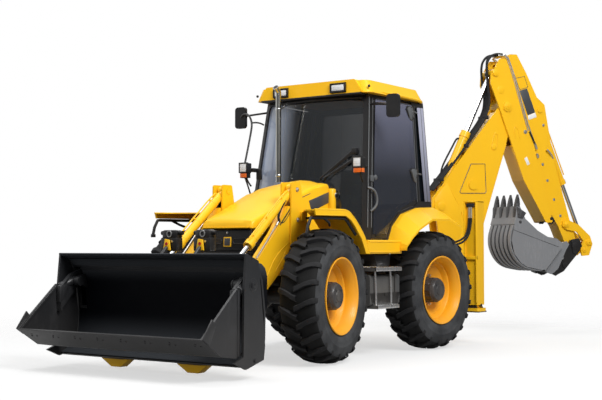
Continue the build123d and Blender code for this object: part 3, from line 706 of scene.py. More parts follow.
    def finish(self, name: str, body: str, finish: str, angle: float = 0.5,
               replaces: Sequence[str] = ()) -> bpy.types.Object:
        """Turn the mesh into a piece.

        Args:
            name: piece name.
            body: body it rides on, or empty where the caller places it.
            finish: key of its material.
            angle: edges sharper than this stay sharp when shaded.
            replaces: CAD nodes it stands for.

        Returns:
            The object.
        """
        data = bpy.data.meshes.new(name)
        for face in self.mesh.faces:
            face.smooth = True
        for edge in self.mesh.edges:
            edge.smooth = edge.calc_face_angle(0.0) < angle
        self.mesh.to_mesh(data)
        self.mesh.free()
        piece = bpy.data.objects.new(name, data)
        bpy.context.scene.collection.objects.link(piece)
        data.materials.append(MATERIAL[finish])
        if body:
            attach(piece, body)
        if replaces:
            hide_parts(*replaces)
        log.info("%s: %d faces on %s", name, len(data.polygons), body)
        return piece


def both_sides(build: Callable[[Shaper], object], place: Matrix = MACHINE) -> Shaper:
    """Shaper with a shape built on the left and mirrored to the right."""
    shaper = Shaper(place)
    build(shaper)
    shaper.place = place @ MIRROR_X
    build(shaper)
    shaper.place = place
    return shaper


def at_x(x: float, line: Iterable[Flat]) -> list[Point]:
    """Points of a (y, z) line at one x."""
    return [(x, y, z) for y, z in line]


def curve(knots: Sequence[Sequence[float]], steps: int = 6) -> list[Vector]:
    """Smooth line through some points.

    Args:
        knots: points it passes through, all flat or all in space.
        steps: pieces between two knots.

    Returns:
        The points of the line, with both ends kept.
    """
    knot = [Vector(k) for k in knots]
    knot = [knot[0] * 2 - knot[1], *knot, knot[-1] * 2 - knot[-2]]
    line = []
    for a, b, c, d in zip(knot, knot[1:], knot[2:], knot[3:]):
        for index in range(steps):
            t = index / steps
            line.append((b * 2 + (c - a) * t + (a * 2 - b * 5 + c * 4 - d) * t * t
                         + (b * 3 - a - c * 3 + d) * t ** 3) * 0.5)
    return line + [knot[-2]]


# ---- wheels ----
@dataclass
class Wheel:
    """One wheel: lug tyre, deep dished rim and planetary hub."""

    end: End
    side: Side
    radius: float = 0.697
    lugs: int = 22
    lug_floor: float = 0.645
    nuts: int = 10
    hub_ribs: int = 12
    cover_screws: int = 4
    tread_from: float = 0.612
    # lug centre line: offset across the tread, lead and trail along it, top radius
    stations: tuple[tuple[float, float, float, float], ...] = (
        (-0.012, -0.04, 0.026, 0.697), (0.04, -0.016, 0.046, 0.696), (0.095, 0.016, 0.076, 0.691),
        (0.15, 0.036, 0.1, 0.678), (0.188, 0.044, 0.112, 0.656))
    shoulder: tuple[tuple[float, float, float, float], ...] = (
        (0.204, 0.048, 0.112, 0.642), (0.207, 0.052, 0.108, 0.624))

    def place(self) -> Matrix:
        """Matrix from a left, straight-ahead wheel centred on x = 0 to the rest pose."""
        pivot = Matrix.Translation((self.side.value * KINGPIN_X, self.end.axle_y, HUB_Z))
        local = Matrix.Translation((WHEEL_X - KINGPIN_X, 0.0, 0.0))
        turn = Matrix.Rotation(STEER[self.end.value], 4, "Z")
        if self.side is Side.RIGHT:
            local = MIRROR_X @ local
        return MACHINE @ pivot @ turn @ local

    def name(self, piece: str) -> str:
        """Piece name for this corner."""
        return f"{piece}_{self.end.value}_{self.side.word}"

    def body(self) -> str:
        """Body the wheel's pieces ride on."""
        return self.name("wheel")

    def lug(self, shaper: Shaper) -> None:
        """One lug, extruded from the centre line to the shoulder and down its side."""
        mesh = shaper.mesh
        known = set(mesh.verts)

        def ring(across: float, lead: float, trail: float, top: float, inset: float = 0.007) -> list[Vector]:
            """Corners of the lug's section at a place across the tread."""
            out = []
            for arc, radius in (
                    (lead, self.lug_floor), (lead + inset, top), (trail - inset, top),
                    (trail, self.lug_floor)):
                angle = arc / self.radius
                out.append(Vector((across, radius * math.sin(angle), radius * math.cos(angle))))
            return out

        first = ring(*self.stations[0])
        face = mesh.faces.new([mesh.verts.new(co) for co in first])
        for station in self.stations[1:] + self.shoulder:
            grown = bmesh.ops.extrude_discrete_faces(mesh, faces=[face])["faces"]
            if len(grown) == 1:
                face = grown[0]
            for vert, co in zip(face.verts, ring(*station)):
                vert.co = co
        for vert, radius in zip(list(face.verts), (0.585, 0.634, 0.634, 0.585)):
            flat = Vector((0.0, vert.co.y, vert.co.z)).normalized() * radius
            vert.co = Vector((0.2155 if radius > 0.6 else 0.2095, flat.y, flat.z))
        made = [v for v in mesh.verts if v not in known]
        bmesh.ops.recalc_face_normals(mesh, faces=list({f for v in made for f in v.link_faces}))

    def build_tyre(self) -> None:
        """Carcass and lugs in place of the plain tyre."""
        carcass = Shaper(self.place())
        outline = [(-0.187, 0.4), (-0.192, 0.412), (-0.203, 0.425), (-0.206, 0.436), (-0.212, 0.445),
                   (-0.2155, 0.48), (-0.2145, 0.515), (-0.2165, 0.52), (-0.216, 0.528), (-0.213, 0.534),
                   (-0.207, 0.59), (-0.196, 0.624), (-0.178, 0.64), (-0.13, 0.65), (-0.06, 0.656),
                   (0.0, 0.658)]
        outline = outline + [(-along_x, radius) for along_x, radius in reversed(outline[:-1])]
        carcass.spin(outline, (0, 0, 0), 96)
        inverse = self.place().inverted()

        def is_tread(centre: Vector) -> bool:
            """Faces between the lugs, which get the darker rubber as painted shade."""
            local = inverse @ centre
            return math.hypot(local.y, local.z) > self.tread_from

        carcass.finish(self.name("carcass"), self.body(), "tyre_wall", 0.9, (self.name("tyre"),))
        piece = bpy.data.objects[self.name("carcass")]
        # carcass faces between the lugs take the darker rubber: painted shade in the gaps
        piece.data.materials.append(MATERIAL["tyre_gap"])
        for face in piece.data.polygons:
            face.material_index = int(is_tread(face.center))
        tread = Shaper(self.place())
        mesh = tread.mesh
        self.lug(tread)
        edges = [e for e in mesh.edges if len(e.link_faces) == 2 and e.calc_face_angle(0.0) > 0.6]
        bmesh.ops.bevel(
            mesh, geom=edges, offset=0.004, segments=1, profile=0.5, affect="EDGES", offset_type="OFFSET",
            material=-1, clamp_overlap=True)
        one = list(mesh.verts) + list(mesh.edges) + list(mesh.faces)
        pitch = math.tau / self.lugs
        other = bmesh.ops.duplicate(mesh, geom=one)["geom"]
        verts = [g for g in other if isinstance(g, bmesh.types.BMVert)]
        bmesh.ops.transform(mesh, matrix=Matrix.Rotation(-pitch / 2, 4, "X") @ MIRROR_X, verts=verts)
        bmesh.ops.reverse_faces(mesh, faces=[g for g in other if isinstance(g, bmesh.types.BMFace)])
        pair = list(mesh.verts) + list(mesh.edges) + list(mesh.faces)
        for index in range(1, self.lugs):
            copy = bmesh.ops.duplicate(mesh, geom=pair)["geom"]
            verts = [g for g in copy if isinstance(g, bmesh.types.BMVert)]
            bmesh.ops.transform(mesh, matrix=Matrix.Rotation(pitch * index, 4, "X"), verts=verts)
        tread._settle(mesh.verts)
        tread.finish(self.name("lugs"), self.body(), "tyre_tread", 0.5)

    def build_rim(self) -> None:
        """Dished rim with its nuts, valve and hub."""
        rim = Shaper(self.place())
        rim.spin([(-0.195, 0.37), (-0.195, 0.399), (-0.176, 0.399), (-0.166, 0.353), (0.146, 0.353),
                  (0.176, 0.376), (0.19, 0.398), (0.203, 0.402), (0.208, 0.396), (0.206, 0.386),
                  (0.196, 0.378), (0.172, 0.366), (0.146, 0.344), (0.08, 0.339), (0.076, 0.326),
                  (0.07, 0.322), (0.02, 0.3), (-0.018, 0.215), (-0.03, 0.19), (-0.032, 0.154),
                  (-0.046, 0.154), (-0.046, 0.2), (-0.03, 0.225), (0.006, 0.31), (0.01, 0.338),
                  (-0.166, 0.338)], (0, 0, 0), 96)
        # the dish takes the more orange copy of the yellow enamel, darkened as painted shade
        rim.finish(self.name("dish"), self.body(), "rim_enamel", 0.7, (self.name("rim"),))
        hub = Shaper(self.place())
        hub.spin([(-0.048, 0.075), (-0.048, 0.153), (-0.012, 0.153), (-0.008, 0.141), (0.096, 0.139),
                  (0.1, 0.144), (0.122, 0.144), (0.126, 0.136), (0.15, 0.128), (0.158, 0.12),
                  (0.16, 0.06), (0.166, 0.056), (0.17, 0.04), (0.17, 0.0), (0.012, 0.0), (0.012, 0.075)],
                 (0, 0, 0), 48)
        for index in range(self.hub_ribs):
            angle = math.tau * index / self.hub_ribs
            rib = Matrix.Rotation(angle, 4, "X")
            hub.block((0.0, -0.01, 0.132), (0.098, 0.01, 0.146), 0.003, 1, rib)
            centre = rib @ Vector((0.124, 0.0, 0.134))
            hub.bolt(centre, (1, 0, 0), 0.009, 0.009, False)
        for index in range(self.cover_screws):
            centre = Matrix.Rotation(math.tau * (index + 0.5) / self.cover_screws, 4, "X") @ Vector((
                0.158, 0.0, 0.085))
            hub.bolt(centre, (1, 0, 0), 0.008, 0.008, False)
        hub.finish(self.name("planetary"), self.body(), "hub_enamel", 0.5)
        fixings = Shaper(self.place())
        for index in range(self.nuts):
            centre = Matrix.Rotation(math.tau * (index + 0.5) / self.nuts, 4, "X") @ Vector((
                -0.031, 0.0, 0.176))
            fixings.bolt(centre, (1, 0, 0), 0.016, 0.024)
        fixings.sweep([(0.02, 0.0, 0.3), (0.055, 0.0, 0.292), (0.085, 0.0, 0.31)], 0.006, 8)
        fixings.finish(self.name("wheel_nuts"), self.body(), "zinc_plate", 0.5)

    def build(self) -> None:
        """All pieces of the wheel."""
        self.build_tyre()
        self.build_rim()


# ---- frame nodes ----
NODE_FINISH = {
    "yellow_enamel": ("loader_towers", "hood", "rear_cowl", "front_fenders", "cab_base", "cab_roof",
                      "rear_frame", "loader_arms", "lift_ram_barrels", "tilt_ram_barrels", "kingpost",
                      "boom", "boom_ram_barrel", "dipper_ram_barrel", "dipper_outer", "dipper_inner",
                      "bucket_ram_barrel", "tipping_lever", "tipping_link", "stabiliser_leg_left",
                      "stabiliser_leg_right"),
    "black_enamel": ("front_grille", "cab_frame", "door_left", "door_right", "quick_hitch", "chassis_frame",
                     "axles", "knuckle_front_left", "knuckle_front_right", "knuckle_rear_left",
                     "knuckle_rear_right"),
    "tank_enamel": ("side_tanks",),
    "shovel_steel": ("shovel_blade", "shovel_clam"),
    "bucket_steel": ("bucket",),
    "chrome_plate": ("lift_ram_rods", "tilt_ram_rods", "boom_ram_rod", "dipper_ram_rod", "bucket_ram_rod"),
    "pipe_steel": ("exhaust_stack",),
    "casting_iron": ("drive_line",),
    "black_plastic": ("steering_console", "lamps", "mirrors"),
    "seat_cloth": ("seat",),
    "screen_glass": ("cab_glass",),
    "door_glass": ("door_glass_left", "door_glass_right"),
}


def dress_frame(nodes: dict[str, bpy.types.Object]) -> None:
    """Give every CAD node its finish."""
    for finish, names in NODE_FINISH.items():
        for name in names:
            node = nodes[name]
            node.data.materials.clear()
            node.data.materials.append(MATERIAL[finish])


# ---- shovel ----
@dataclass
class Shovel:
    """Smooth liner, slot covers, clam hinges and the fittings of the shovel."""

    pin: Flat = (-1.58, 0.86)
    slot: float = 1.072
    cheek: float = 1.195
    foot_x: float = 0.5
    coupling_x: float = 0.22
    knots: tuple[Flat, ...] = (
        (-1.679, 1.12), (-1.552, 1.059), (-1.474, 0.886), (-1.43, 0.61), (-1.436, 0.372),
        (-1.492, 0.226), (-1.668, 0.137))

    @property
    def wall(self) -> list[Vector]:
        """Smooth line (y, z) down the back wall."""
        return curve(self.knots, 7)

    def liner(self, s: Shaper) -> None:
        """Liner beside the clam arm's slot, and the box that covers the slot from behind."""
        s.strip([p for p in self.wall if p[1] > 1.0], self.slot, self.cheek, 0.003)
        s.strip([p for p in self.wall if p[1] < 0.6], self.slot, self.cheek, 0.003)
        s.strip([p for p in self.wall if 0.55 < p[1] < 1.05], 1.172, 1.1945, 0.0025)
        back = [(-1.4, 0.57), (-1.322, 0.64), (-1.32, 0.93), (-1.35, 1.004), (-1.405, 1.045), (-1.512, 1.068)]
        for x in (1.066, 1.175):
            s.plate(back + [(-1.44, 0.9), (-1.394, 0.62)], x, x + 0.004, 0.0)
        s.strip(back, 1.066, 1.179, -0.003)

    def hinges(self, s: Shaper) -> None:
        """Clam hinge barrels, their brackets, caps and welds."""
        pin_y, pin_z = self.pin
        s.rod((1.01, pin_y, pin_z), (1.096, pin_y, pin_z), 0.046, 28, soft=0.004)
        s.rod((0.998, pin_y, pin_z), (1.014, pin_y, pin_z), 0.052, 28, soft=0.004)
        s.plate([(-1.61, 0.83), (-1.6, 0.905), (-1.48, 0.935), (-1.45, 0.79)], 1.04, 1.056, 0.003)
        s.rod((1.219, pin_y, pin_z), (1.224, pin_y, pin_z), 0.06, 32, soft=0.002)
        s.cap((1.223, pin_y, pin_z), (1, 0, 0), 0.042, 0.014)
        s.bolt((1.22, -1.55, 0.17), (1, 0, 0), 0.016, 0.01)
        s.sweep(at_x(1.193, self.wall[4:-4]), 0.006, 6)

    def shovel_liner(self) -> None:
        """Smooth lining with the rounded top edge."""
        shell = both_sides(self.liner)
        shell.strip(self.wall, -self.slot, self.slot, 0.003)
        shell.rod((-1.219, -1.676, 1.135), (1.219, -1.676, 1.135), 0.008, 10)
        shell.finish("shovel_liner", "shovel", "shovel_liner")

    def shovel_brackets(self) -> None:
        """Feet, link brackets and coupling blocks behind the bowl."""
        dark = Shaper()
        for sign in (-1, 1):
            foot_x, x = sign * self.foot_x, sign * self.coupling_x
            dark.rod((sign * 1.2195, -1.6, 1.1), (sign * 1.2215, -1.6, 1.1), 0.013, 16)
            dark.block((foot_x - 0.14, -1.63, 0.1), (foot_x + 0.14, -1.47, 0.15), 0.01)
            dark.plate([(-1.47, 0.9), (-1.4, 0.72), (-1.125, 1.13), (-1.125, 1.21), (-1.165, 1.21)],
                       x - 0.02, x + 0.02, 0.006)
            dark.block((x - 0.11, -1.13, 1.16), (x + 0.11, -1.03, 1.3), 0.015)
            dark.block((x - 0.09, -1.13, 1.285), (x + 0.1, -1.02, 1.375), 0.02)
            dark.rod((x - 0.13, -1.08, 1.345), (x + 0.15, -1.08, 1.345), 0.022, 16)
        dark.finish("shovel_brackets", "shovel", "black_enamel")

    def shovel_lugs(self) -> None:
        """Yellow tabs under the bowl and on its couplings."""
        tabs = Shaper()
        for sign in (-1, 1):
            x = sign * self.foot_x
            tabs.plate([(x - 0.19, 0.102), (x + 0.19, 0.102), (x + 0.08, 0.02), (x - 0.05, 0.02)], -1.6, -1.5,
                       0.006, "Y")
            x = sign * self.coupling_x
            tabs.plate(
                [(x - 0.048, 1.17), (x + 0.048, 1.17), (x + 0.034, 1.275), (x - 0.022, 1.285)],
                -1.162, -1.142, 0.004, "Y")
        tabs.finish("shovel_lugs", "shovel", "yellow_enamel")

    def lug_holes(self) -> None:
        """Round marks on the coupling tabs."""
        holes = Shaper()
        for sign in (-1, 1):
            x = sign * self.coupling_x
            holes.rod((x + 0.004, -1.166, 1.235), (x + 0.004, -1.16, 1.235), 0.017, 16)
        holes.finish("lug_holes", "shovel", "red_lens")

    def coupling_rings(self) -> None:
        """Rings and pins of the couplings."""
        rings = Shaper()
        for sign in (-1, 1):
            x = sign * self.coupling_x
            centre = (x + 0.015, -1.132, 1.335)
            rings.spin([(-0.006, 0.024), (0.006, 0.024), (0.006, 0.034), (-0.006, 0.034)], centre, 24,
                       Matrix.Rotation(math.radians(90.0), 4, "Z"))
            rings.rod((x + 0.05, -1.135, 1.26), (x + 0.05, -1.1, 1.26), 0.012, 12)
        rings.finish("coupling_rings", "shovel", "zinc_plate")

    def build(self) -> None:
        """All pieces, in order."""
        self.shovel_liner()
        both_sides(self.hinges).finish("shovel_hinges", "shovel", "shovel_steel")
        self.shovel_brackets()
        self.shovel_lugs()
        self.lug_holes()
        self.coupling_rings()


@dataclass
class Clam:
    """Lip bolts, side cutters and stiffening bars of the clam."""

    lip_front: Flat = (-2.241, 0.392)
    lip_end: Flat = (-1.99, 0.236)
    bolt_row: float = 0.112
    bolt_pairs: int = 8
    pair_pitch: float = 0.3
    first_pair: float = -1.05
    half_pair: float = 0.035
    head: float = 0.0035

    def lip_bolts(self) -> None:
        """Pairs of countersunk bolts under the lip plate."""
        front = Vector(self.lip_front)
        run = (Vector(self.lip_end) - front).normalized()
        y, z = front + run * self.bolt_row
        bolts = Shaper()
        for index in range(self.bolt_pairs):
            x = self.first_pair + self.pair_pitch * index
            for shift in (-self.half_pair, self.half_pair):
                bolts.rod((x + shift, y, z), (x + shift, y + self.head * run.y, z - self.head), 0.009, 12)
        bolts.finish("lip_bolts", "clam", "tooth_steel")

    def bars(self, s: Shaper) -> None:
        """Side cutter outside the cheek and the bars along its edges."""
        s.plate([(-2.256, 0.404), (-2.165, 0.346), (-2.075, 0.515), (-2.13, 0.572)], 1.184, 1.2, 0.003)
        s.plate([(-2.236, 0.405), (-1.775, 0.815), (-1.762, 0.79), (-2.2, 0.395)], 1.15, 1.161, 0.003)
        s.plate([(-1.768, 0.215), (-1.733, 0.225), (-1.733, 0.822), (-1.768, 0.812)], 1.184, 1.19, 0.002)
        s.sweep([(1.158, -2.2, 0.402), (1.158, -1.98, 0.265), (1.158, -1.78, 0.235)], 0.006, 6)
        s.rod((1.112, -1.59, 0.862), (1.16, -1.72, 0.8), 0.048, 24, 0.04, 0.006)
        s.plate([(-1.772, 0.64), (-1.772, 0.812), (-1.7, 0.835), (-1.64, 0.8), (-1.718, 0.66)],
                1.098, 1.16, 0.01)

    def build(self) -> None:
        """All pieces of the clam."""
        self.lip_bolts()
        both_sides(self.bars).finish("clam_bars", "clam", "shovel_steel")


# ---- loader, hood and front ----
def arch(half: float, low: float, edge: float, top: float, rise: float, skin: float = 0.012) -> list[Flat]:
    """Closed section (x, z) of a cover: skirts, rounded shoulders and a raised middle."""
    right = [(half, low), (half, edge - 0.035), (half - 0.006, edge - 0.016), (half - 0.02, edge - 0.004),
             (half - 0.045, edge), (half * 0.72, edge + (top - edge) * 0.22), (half * 0.64, edge + rise),
             (half * 0.35, edge + rise + (top - edge - rise) * 0.72), (0.0, top)]
    outer = [(-x, z) for x, z in right[:-1]] + right[::-1]
    inner = [(x * (1.0 - skin / half), max(low, z - skin)) for x, z in outer]
    return outer + inner[::-1]


@dataclass
class Hood:
    """Tapered hood with a raised middle, its lip and shut lines."""

    neck_x: float = 0.405
    neck_y: float = 0.905
    # distance back, then half width, foot, shoulder, top and shoulder's rise
    hood_stations: tuple[tuple[float, ...], ...] = (
        (-0.47, 0.327, 1.4, 1.416, 1.42, 0.001), (-0.466, 0.331, 1.398, 1.44, 1.448, 0.003),
        (-0.452, 0.336, 1.398, 1.476, 1.49, 0.008), (-0.405, 0.34, 1.4, 1.5, 1.52, 0.012),
        (-0.2, 0.351, 1.41, 1.58, 1.61, 0.018), (0.07, 0.368, 1.425, 1.69, 1.728, 0.02),
        (0.338, 0.385, 1.44, 1.798, 1.838, 0.018))
    cowl_stations: tuple[tuple[float, ...], ...] = (
        (0.35, 0.388, 1.3, 1.79, 1.834, 0.016), (0.56, 0.39, 1.3, 1.866, 1.908, 0.014),
        (0.75, 0.39, 1.3, 1.906, 1.95, 0.01), (0.86, 0.388, 1.3, 1.918, 1.968, 0.008),
        (0.885, 0.378, 1.3, 1.905, 1.952, 0.006))

    def hood_cover(self) -> None:
        """Tapered cover with its front lip."""
        hood = Shaper()
        hood.loft([[(x, y, z) for x, z in arch(*section)] for y, *section in self.hood_stations])
        hood.plate([(-0.3, 1.399), (0.3, 1.399), (0.318, 1.412), (-0.318, 1.412)], -0.482, -0.462, 0.004, "Y")
        hood.finish("hood_cover", "hood", "yellow_enamel", 0.7, ("hood",))

    def cowl_cover(self) -> None:
        """Cover behind the hood and the two filler necks."""
        cowl = Shaper()
        cowl.loft([[(x, y, z) for x, z in arch(*section)] for y, *section in self.cowl_stations])
        cowl.block((-0.388, 0.6, 1.085), (0.388, 0.84, 1.305), 0.01)
        for sign in (-1, 1):
            cowl.rod(
                (sign * self.neck_x, self.neck_y, 1.585), (sign * self.neck_x, self.neck_y, 1.862),
                0.048, 28, soft=0.02)
        cowl.finish("cowl_cover", "machine", "yellow_enamel", 0.7, ("rear_cowl",))

    def cowl_panels(self) -> None:
        """Bare side panels and shut lines."""
        trim = Shaper()
        panel = [(0.478, 1.712), (0.878, 1.826), (0.891, 1.711), (0.527, 1.594)]
        for sign in (-1, 1):
            low, high = sorted((sign * 0.388, sign * 0.395))
            trim.plate(panel, low, high, 0.002)
            low, high = sorted((sign * 0.385, sign * 0.3895))
            trim.plate([(0.352, 1.748), (0.64, 1.836), (0.64, 1.829), (0.352, 1.739)], low, high, 0.0)
        trim.finish("cowl_panels", "machine", "panel_grey")

    def build(self) -> None:
        """All pieces, in order."""
        self.hood_cover()
        self.cowl_cover()
        self.cowl_panels()
        both_sides(
            lambda s: s.rod((0.448, 0.925, 1.785), (0.46, 0.925, 1.785), 0.034, 28,
            soft=0.003)).finish("filler_rings", "machine", "zinc_plate")
        both_sides(
            lambda s: s.rod((0.45, 0.925, 1.785), (0.463, 0.925, 1.785), 0.024, 28,
            soft=0.003)).finish("filler_caps", "machine", "black_plastic")


@dataclass
class Grille:
    """Dark front panel with pressed slots, a bare square badge place and its lock."""

    vent_rows: int = 7
    vent_foot: float = 1.2
    vent_pitch: float = 0.004

    def grille_panel(self) -> None:
        """Panel with its frame, pressed slots and fine vents."""
        panel = Shaper()
        panel.plate(
            [(-0.326, 1.148), (0.326, 1.148), (0.318, 1.398), (-0.318, 1.398)], -0.452, -0.43, 0.005, "Y")
        for sign in (-1, 1):
            low, high = sorted((sign * 0.3, sign * 0.324))
            panel.block((low, -0.462, 1.15), (high, -0.44, 1.396), 0.004)
            slot = [
                (0.085, 1.238), (0.075, 1.262), (0.095, 1.29), (0.235, 1.296), (0.262, 1.278),
                (0.262, 1.245), (0.235, 1.236), (0.085, 1.238)]
            panel.sweep([(sign * x, -0.453, z) for x, z in slot], 0.006, 8, False)
        panel.block((-0.3, -0.458, 1.172), (0.3, -0.448, 1.184), 0.003)
        panel.block((-0.3, -0.46, 1.376), (0.3, -0.446, 1.396), 0.004)
        panel.block((-0.33, -0.5, 1.13), (0.33, -0.44, 1.15), 0.004)
        for row in range(self.vent_rows):
            z = self.vent_foot + row * self.vent_pitch
            panel.block((-0.29, -0.455, z), (-0.12, -0.45, z + 0.001), 0.0)
        panel.finish("grille_panel", "machine", "black_plastic", 0.5, ("front_grille",))

    def build(self) -> None:
        """All pieces, in order."""
        self.grille_panel()
        Shaper().plate(
            [(-0.052, 1.206), (0.048, 1.206), (0.052, 1.308), (-0.048, 1.308)], -0.458, -0.45, 0.002,
            "Y").finish("badge_border", "machine", "yellow_enamel")
        Shaper().plate(
            [(-0.04, 1.218), (0.037, 1.218), (0.04, 1.296), (-0.037, 1.296)], -0.46, -0.456, 0.001,
            "Y").finish("badge_field", "machine", "panel_grey")
        Shaper().rod((0.0, -0.46, 1.352), (0.0, -0.446, 1.352), 0.012, 20, soft=0.002).finish(
            "panel_lock", "machine", "zinc_plate")


@dataclass
class LoaderFittings:
    """Pins, weld ridges, rails, pipes and hoses of the loader arms and towers."""

    ram_base: Flat = (0.05, 1.82)
    ram_eye: Flat = (-1.29, 0.735)
    ram_x: float = 0.468
    ram_radius: float = 0.04
    ridges: tuple[tuple[Flat, ...], ...] = (
        ((-0.47, 0.87), (-0.445, 0.897), (-0.369, 1.04), (-0.237, 1.158), (-0.069, 1.251)),
        ((-0.3, 0.95), (-0.282, 0.986), (-0.193, 1.051), (-0.125, 1.157)))

    def arm(self, s: Shaper) -> None:
        """Pressed ridges on the arm's outer face."""
        for line in self.ridges:
            s.sweep(at_x(0.5155, line), 0.0055, 8)

    def tower(self, s: Shaper) -> None:
        """Bolt heads on the tower's outer plate."""
        for y, z in ((0.046, 1.811), (0.06, 1.491), (0.38, 0.94)):
            s.cap((0.539, y, z), (1, 0, 0), 0.026, 0.014)
        s.cap((0.397, 0.046, 1.815), (-1, 0, 0), 0.03, 0.005)

    def at(self, distance: float, lift: float, x: float) -> Point:
        """Point beside the tilt ram: along it from its base, and above its axis."""
        base = Vector(self.ram_base)
        run = (Vector(self.ram_eye) - base).normalized()
        flat = base + run * distance + Vector((run.y, -run.x)) * lift
        return (x, flat.x, flat.y)

    def rail(self, s: Shaper) -> None:
        """Pipe along the top of the barrel with its clips, and the gland ring."""
        s.sweep([
            self.at(0.1, 0.05, 0.49), self.at(0.16, 0.066, 0.49), self.at(0.4, 0.067, 0.49),
            self.at(0.86, 0.067, 0.49), self.at(0.93, 0.06, 0.49), self.at(0.95, 0.04, 0.485)], 0.0085, 10)
        for distance in (0.22, 0.55, 0.84):
            s.collar(
                self.at(distance, 0.0, self.ram_x), self.at(distance + 0.022, 0.0, self.ram_x),
                0.0485, self.ram_radius)
            s.rod(self.at(distance + 0.011, 0.04, 0.48), self.at(distance + 0.011, 0.068, 0.49), 0.011, 10)
        s.collar(self.at(0.905, 0.0, self.ram_x), self.at(0.972, 0.0, self.ram_x), 0.054, self.ram_radius)

    def hoses(self, s: Shaper) -> None:
        """Hose loop from the ram to the arm and the bundle beside it."""
        loop = ((-0.115, 1.69), (-0.17, 1.64), (-0.22, 1.57), (-0.245, 1.5), (-0.205, 1.44), (-0.13, 1.47),
                (-0.05, 1.56), (0.05, 1.69))
        s.sweep(at_x(0.505, loop), 0.013, 10)
        for x, shift in ((0.492, 0.0), (0.508, 0.018), (0.492, 0.036)):
            s.sweep(
                at_x(x, ((-0.245 + shift, 1.43), (-0.13 + shift, 1.535), (0.0 + shift, 1.66),
                (0.055 + shift * 0.5, 1.735))), 0.012, 10)

    def tilt_ram_hoses(self) -> None:
        """Hoses that bend between the tower and the arm."""
        piece = both_sides(self.hoses).finish("tilt_ram_hoses", "", "hose_rubber", 0.6)
        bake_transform(piece)

    def pipes(self, s: Shaper) -> None:
        """Bright pipe along the arm's top edge."""
        s.sweep(at_x(0.51, ((-0.261, 1.449), (-0.43, 1.272), (-0.617, 1.088))), 0.008, 10)
        s.rod((0.513, -0.25, 1.462), (0.513, -0.285, 1.424), 0.013, 12)

    def build(self) -> None:
        """All pieces, in order."""
        both_sides(self.arm).finish("arm_ridges", "loader_arms", "yellow_enamel", 0.6)
        both_sides(self.tower).finish("tower_pins", "machine", "zinc_plate")
        both_sides(self.rail).finish("tilt_ram_pipes", "tilt_ram_barrels", "yellow_enamel")
        self.tilt_ram_hoses()
        both_sides(self.pipes).finish("arm_pipes", "loader_arms", "zinc_plate", 0.6)


@dataclass
class Fenders:
    """Front fenders: arched sheets with skirts and beads, on tube frames."""

    tube_x: float = 1.035
    sheet: float = 0.012
    crown: tuple[Flat, ...] = (
        (-0.405, 1.582), (-0.1, 1.588), (0.18, 1.586), (0.292, 1.53), (0.382, 1.462), (0.522, 1.318),
        (0.592, 1.2), (0.628, 1.133))
    skirt: tuple[Flat, ...] = (
        (0.556, 1.133), (0.533, 1.18), (0.47, 1.288), (0.338, 1.422), (0.262, 1.482), (0.165, 1.526),
        (-0.385, 1.522))

    def frame(self, s: Shaper) -> None:
        """Bent tube with its brace and feet."""
        s.sweep(
            at_x(self.tube_x, ((-0.48, 1.33), (-0.455, 1.42), (-0.405, 1.497), (-0.36, 1.5), (0.15, 1.504),
            (0.216, 1.502), (0.25, 1.48), (0.42, 1.335))), 0.017, 12, False)
        s.sweep([(self.tube_x, -0.2, 1.507), (1.02, -0.06, 1.455), (0.98, 0.01, 1.425)], 0.014, 10, False)
        s.sweep([(self.tube_x, 0.18, 1.503), (0.8, 0.17, 1.51), (0.58, 0.16, 1.51)], 0.014, 10, False)
        s.block((1.01, -0.5, 1.31), (1.05, -0.46, 1.345), 0.004)

    def bead(self, s: Shaper) -> None:
        """Rolled edge along the outer skirt."""
        s.sweep([(1.079, y, z - 0.003) for y, z in curve(self.crown, 5)], 0.009, 8, False)
        s.sweep([(1.081, y, z + 0.004) for y, z in self.skirt], 0.006, 8, False)

    def shell(self, s: Shaper) -> None:
        """Arched sheet cut away towards the tower at the front, with its skirt."""
        rings = []
        line = curve(self.crown, 5)
        for index, point in enumerate(line):
            run = (line[min(len(line) - 1, index + 1)] - line[max(0, index - 1)]).normalized()
            y, z = point.x + run.y * self.sheet, point.y - run.x * self.sheet
            inner = 0.562 + 0.4 * max(0.0, min(1.0, (0.12 - point.x) / 0.5))
            rings.append([(inner, point.x, point.y), (1.076, point.x, point.y), (1.076, y, z), (inner, y, z)])
        s.loft(rings)
        s.plate([tuple(p) for p in line] + list(self.skirt), 1.069, 1.084, 0.0)
        s.block((0.541, 0.102, 1.482), (0.566, 0.198, 1.578), 0.003)

    def build(self) -> None:
        """All pieces, in order."""
        both_sides(self.frame).finish("fender_frames", "machine", "black_enamel", 0.6)
        both_sides(self.bead).finish("fender_beads", "machine", "yellow_enamel", 0.6)
        both_sides(self.shell).finish("fender_shells", "machine", "yellow_enamel", 0.6, ("front_fenders",))


# ---- cab ----
CAB_SILL = 1.28
CAB_RISE = 1.67
CAB_FRONT = 0.94
FRONT_RAKE = 0.247
CAB_REAR = 2.29
REAR_RAKE = 0.06
NOSE_HALF = 0.833
NOSE_TAPER = 0.124
CAB_HALF = 0.95
CAB_TAPER = 0.18
SCREEN_BOW = 0.11


def cab_front(z: float) -> float:
    """Distance of the cab's front corners behind the front axle, at a height."""
    return CAB_FRONT + FRONT_RAKE * (z - CAB_SILL) / CAB_RISE


def cab_side(y: float, z: float) -> float:
    """Half width of the cab's side plane at a point."""
    f = (z - CAB_SILL) / CAB_RISE
    nose, half = NOSE_HALF - NOSE_TAPER * f, CAB_HALF - CAB_TAPER * f
    front, rear = cab_front(z), CAB_REAR + REAR_RAKE * f
    return nose + (half - nose) * (y - front) / (rear - front)


def on_side(y: float, z: float, out: float = 0.0) -> Point:
    """Point on the left side plane, moved outwards."""
    return (cab_side(y, z) + out, y, z)


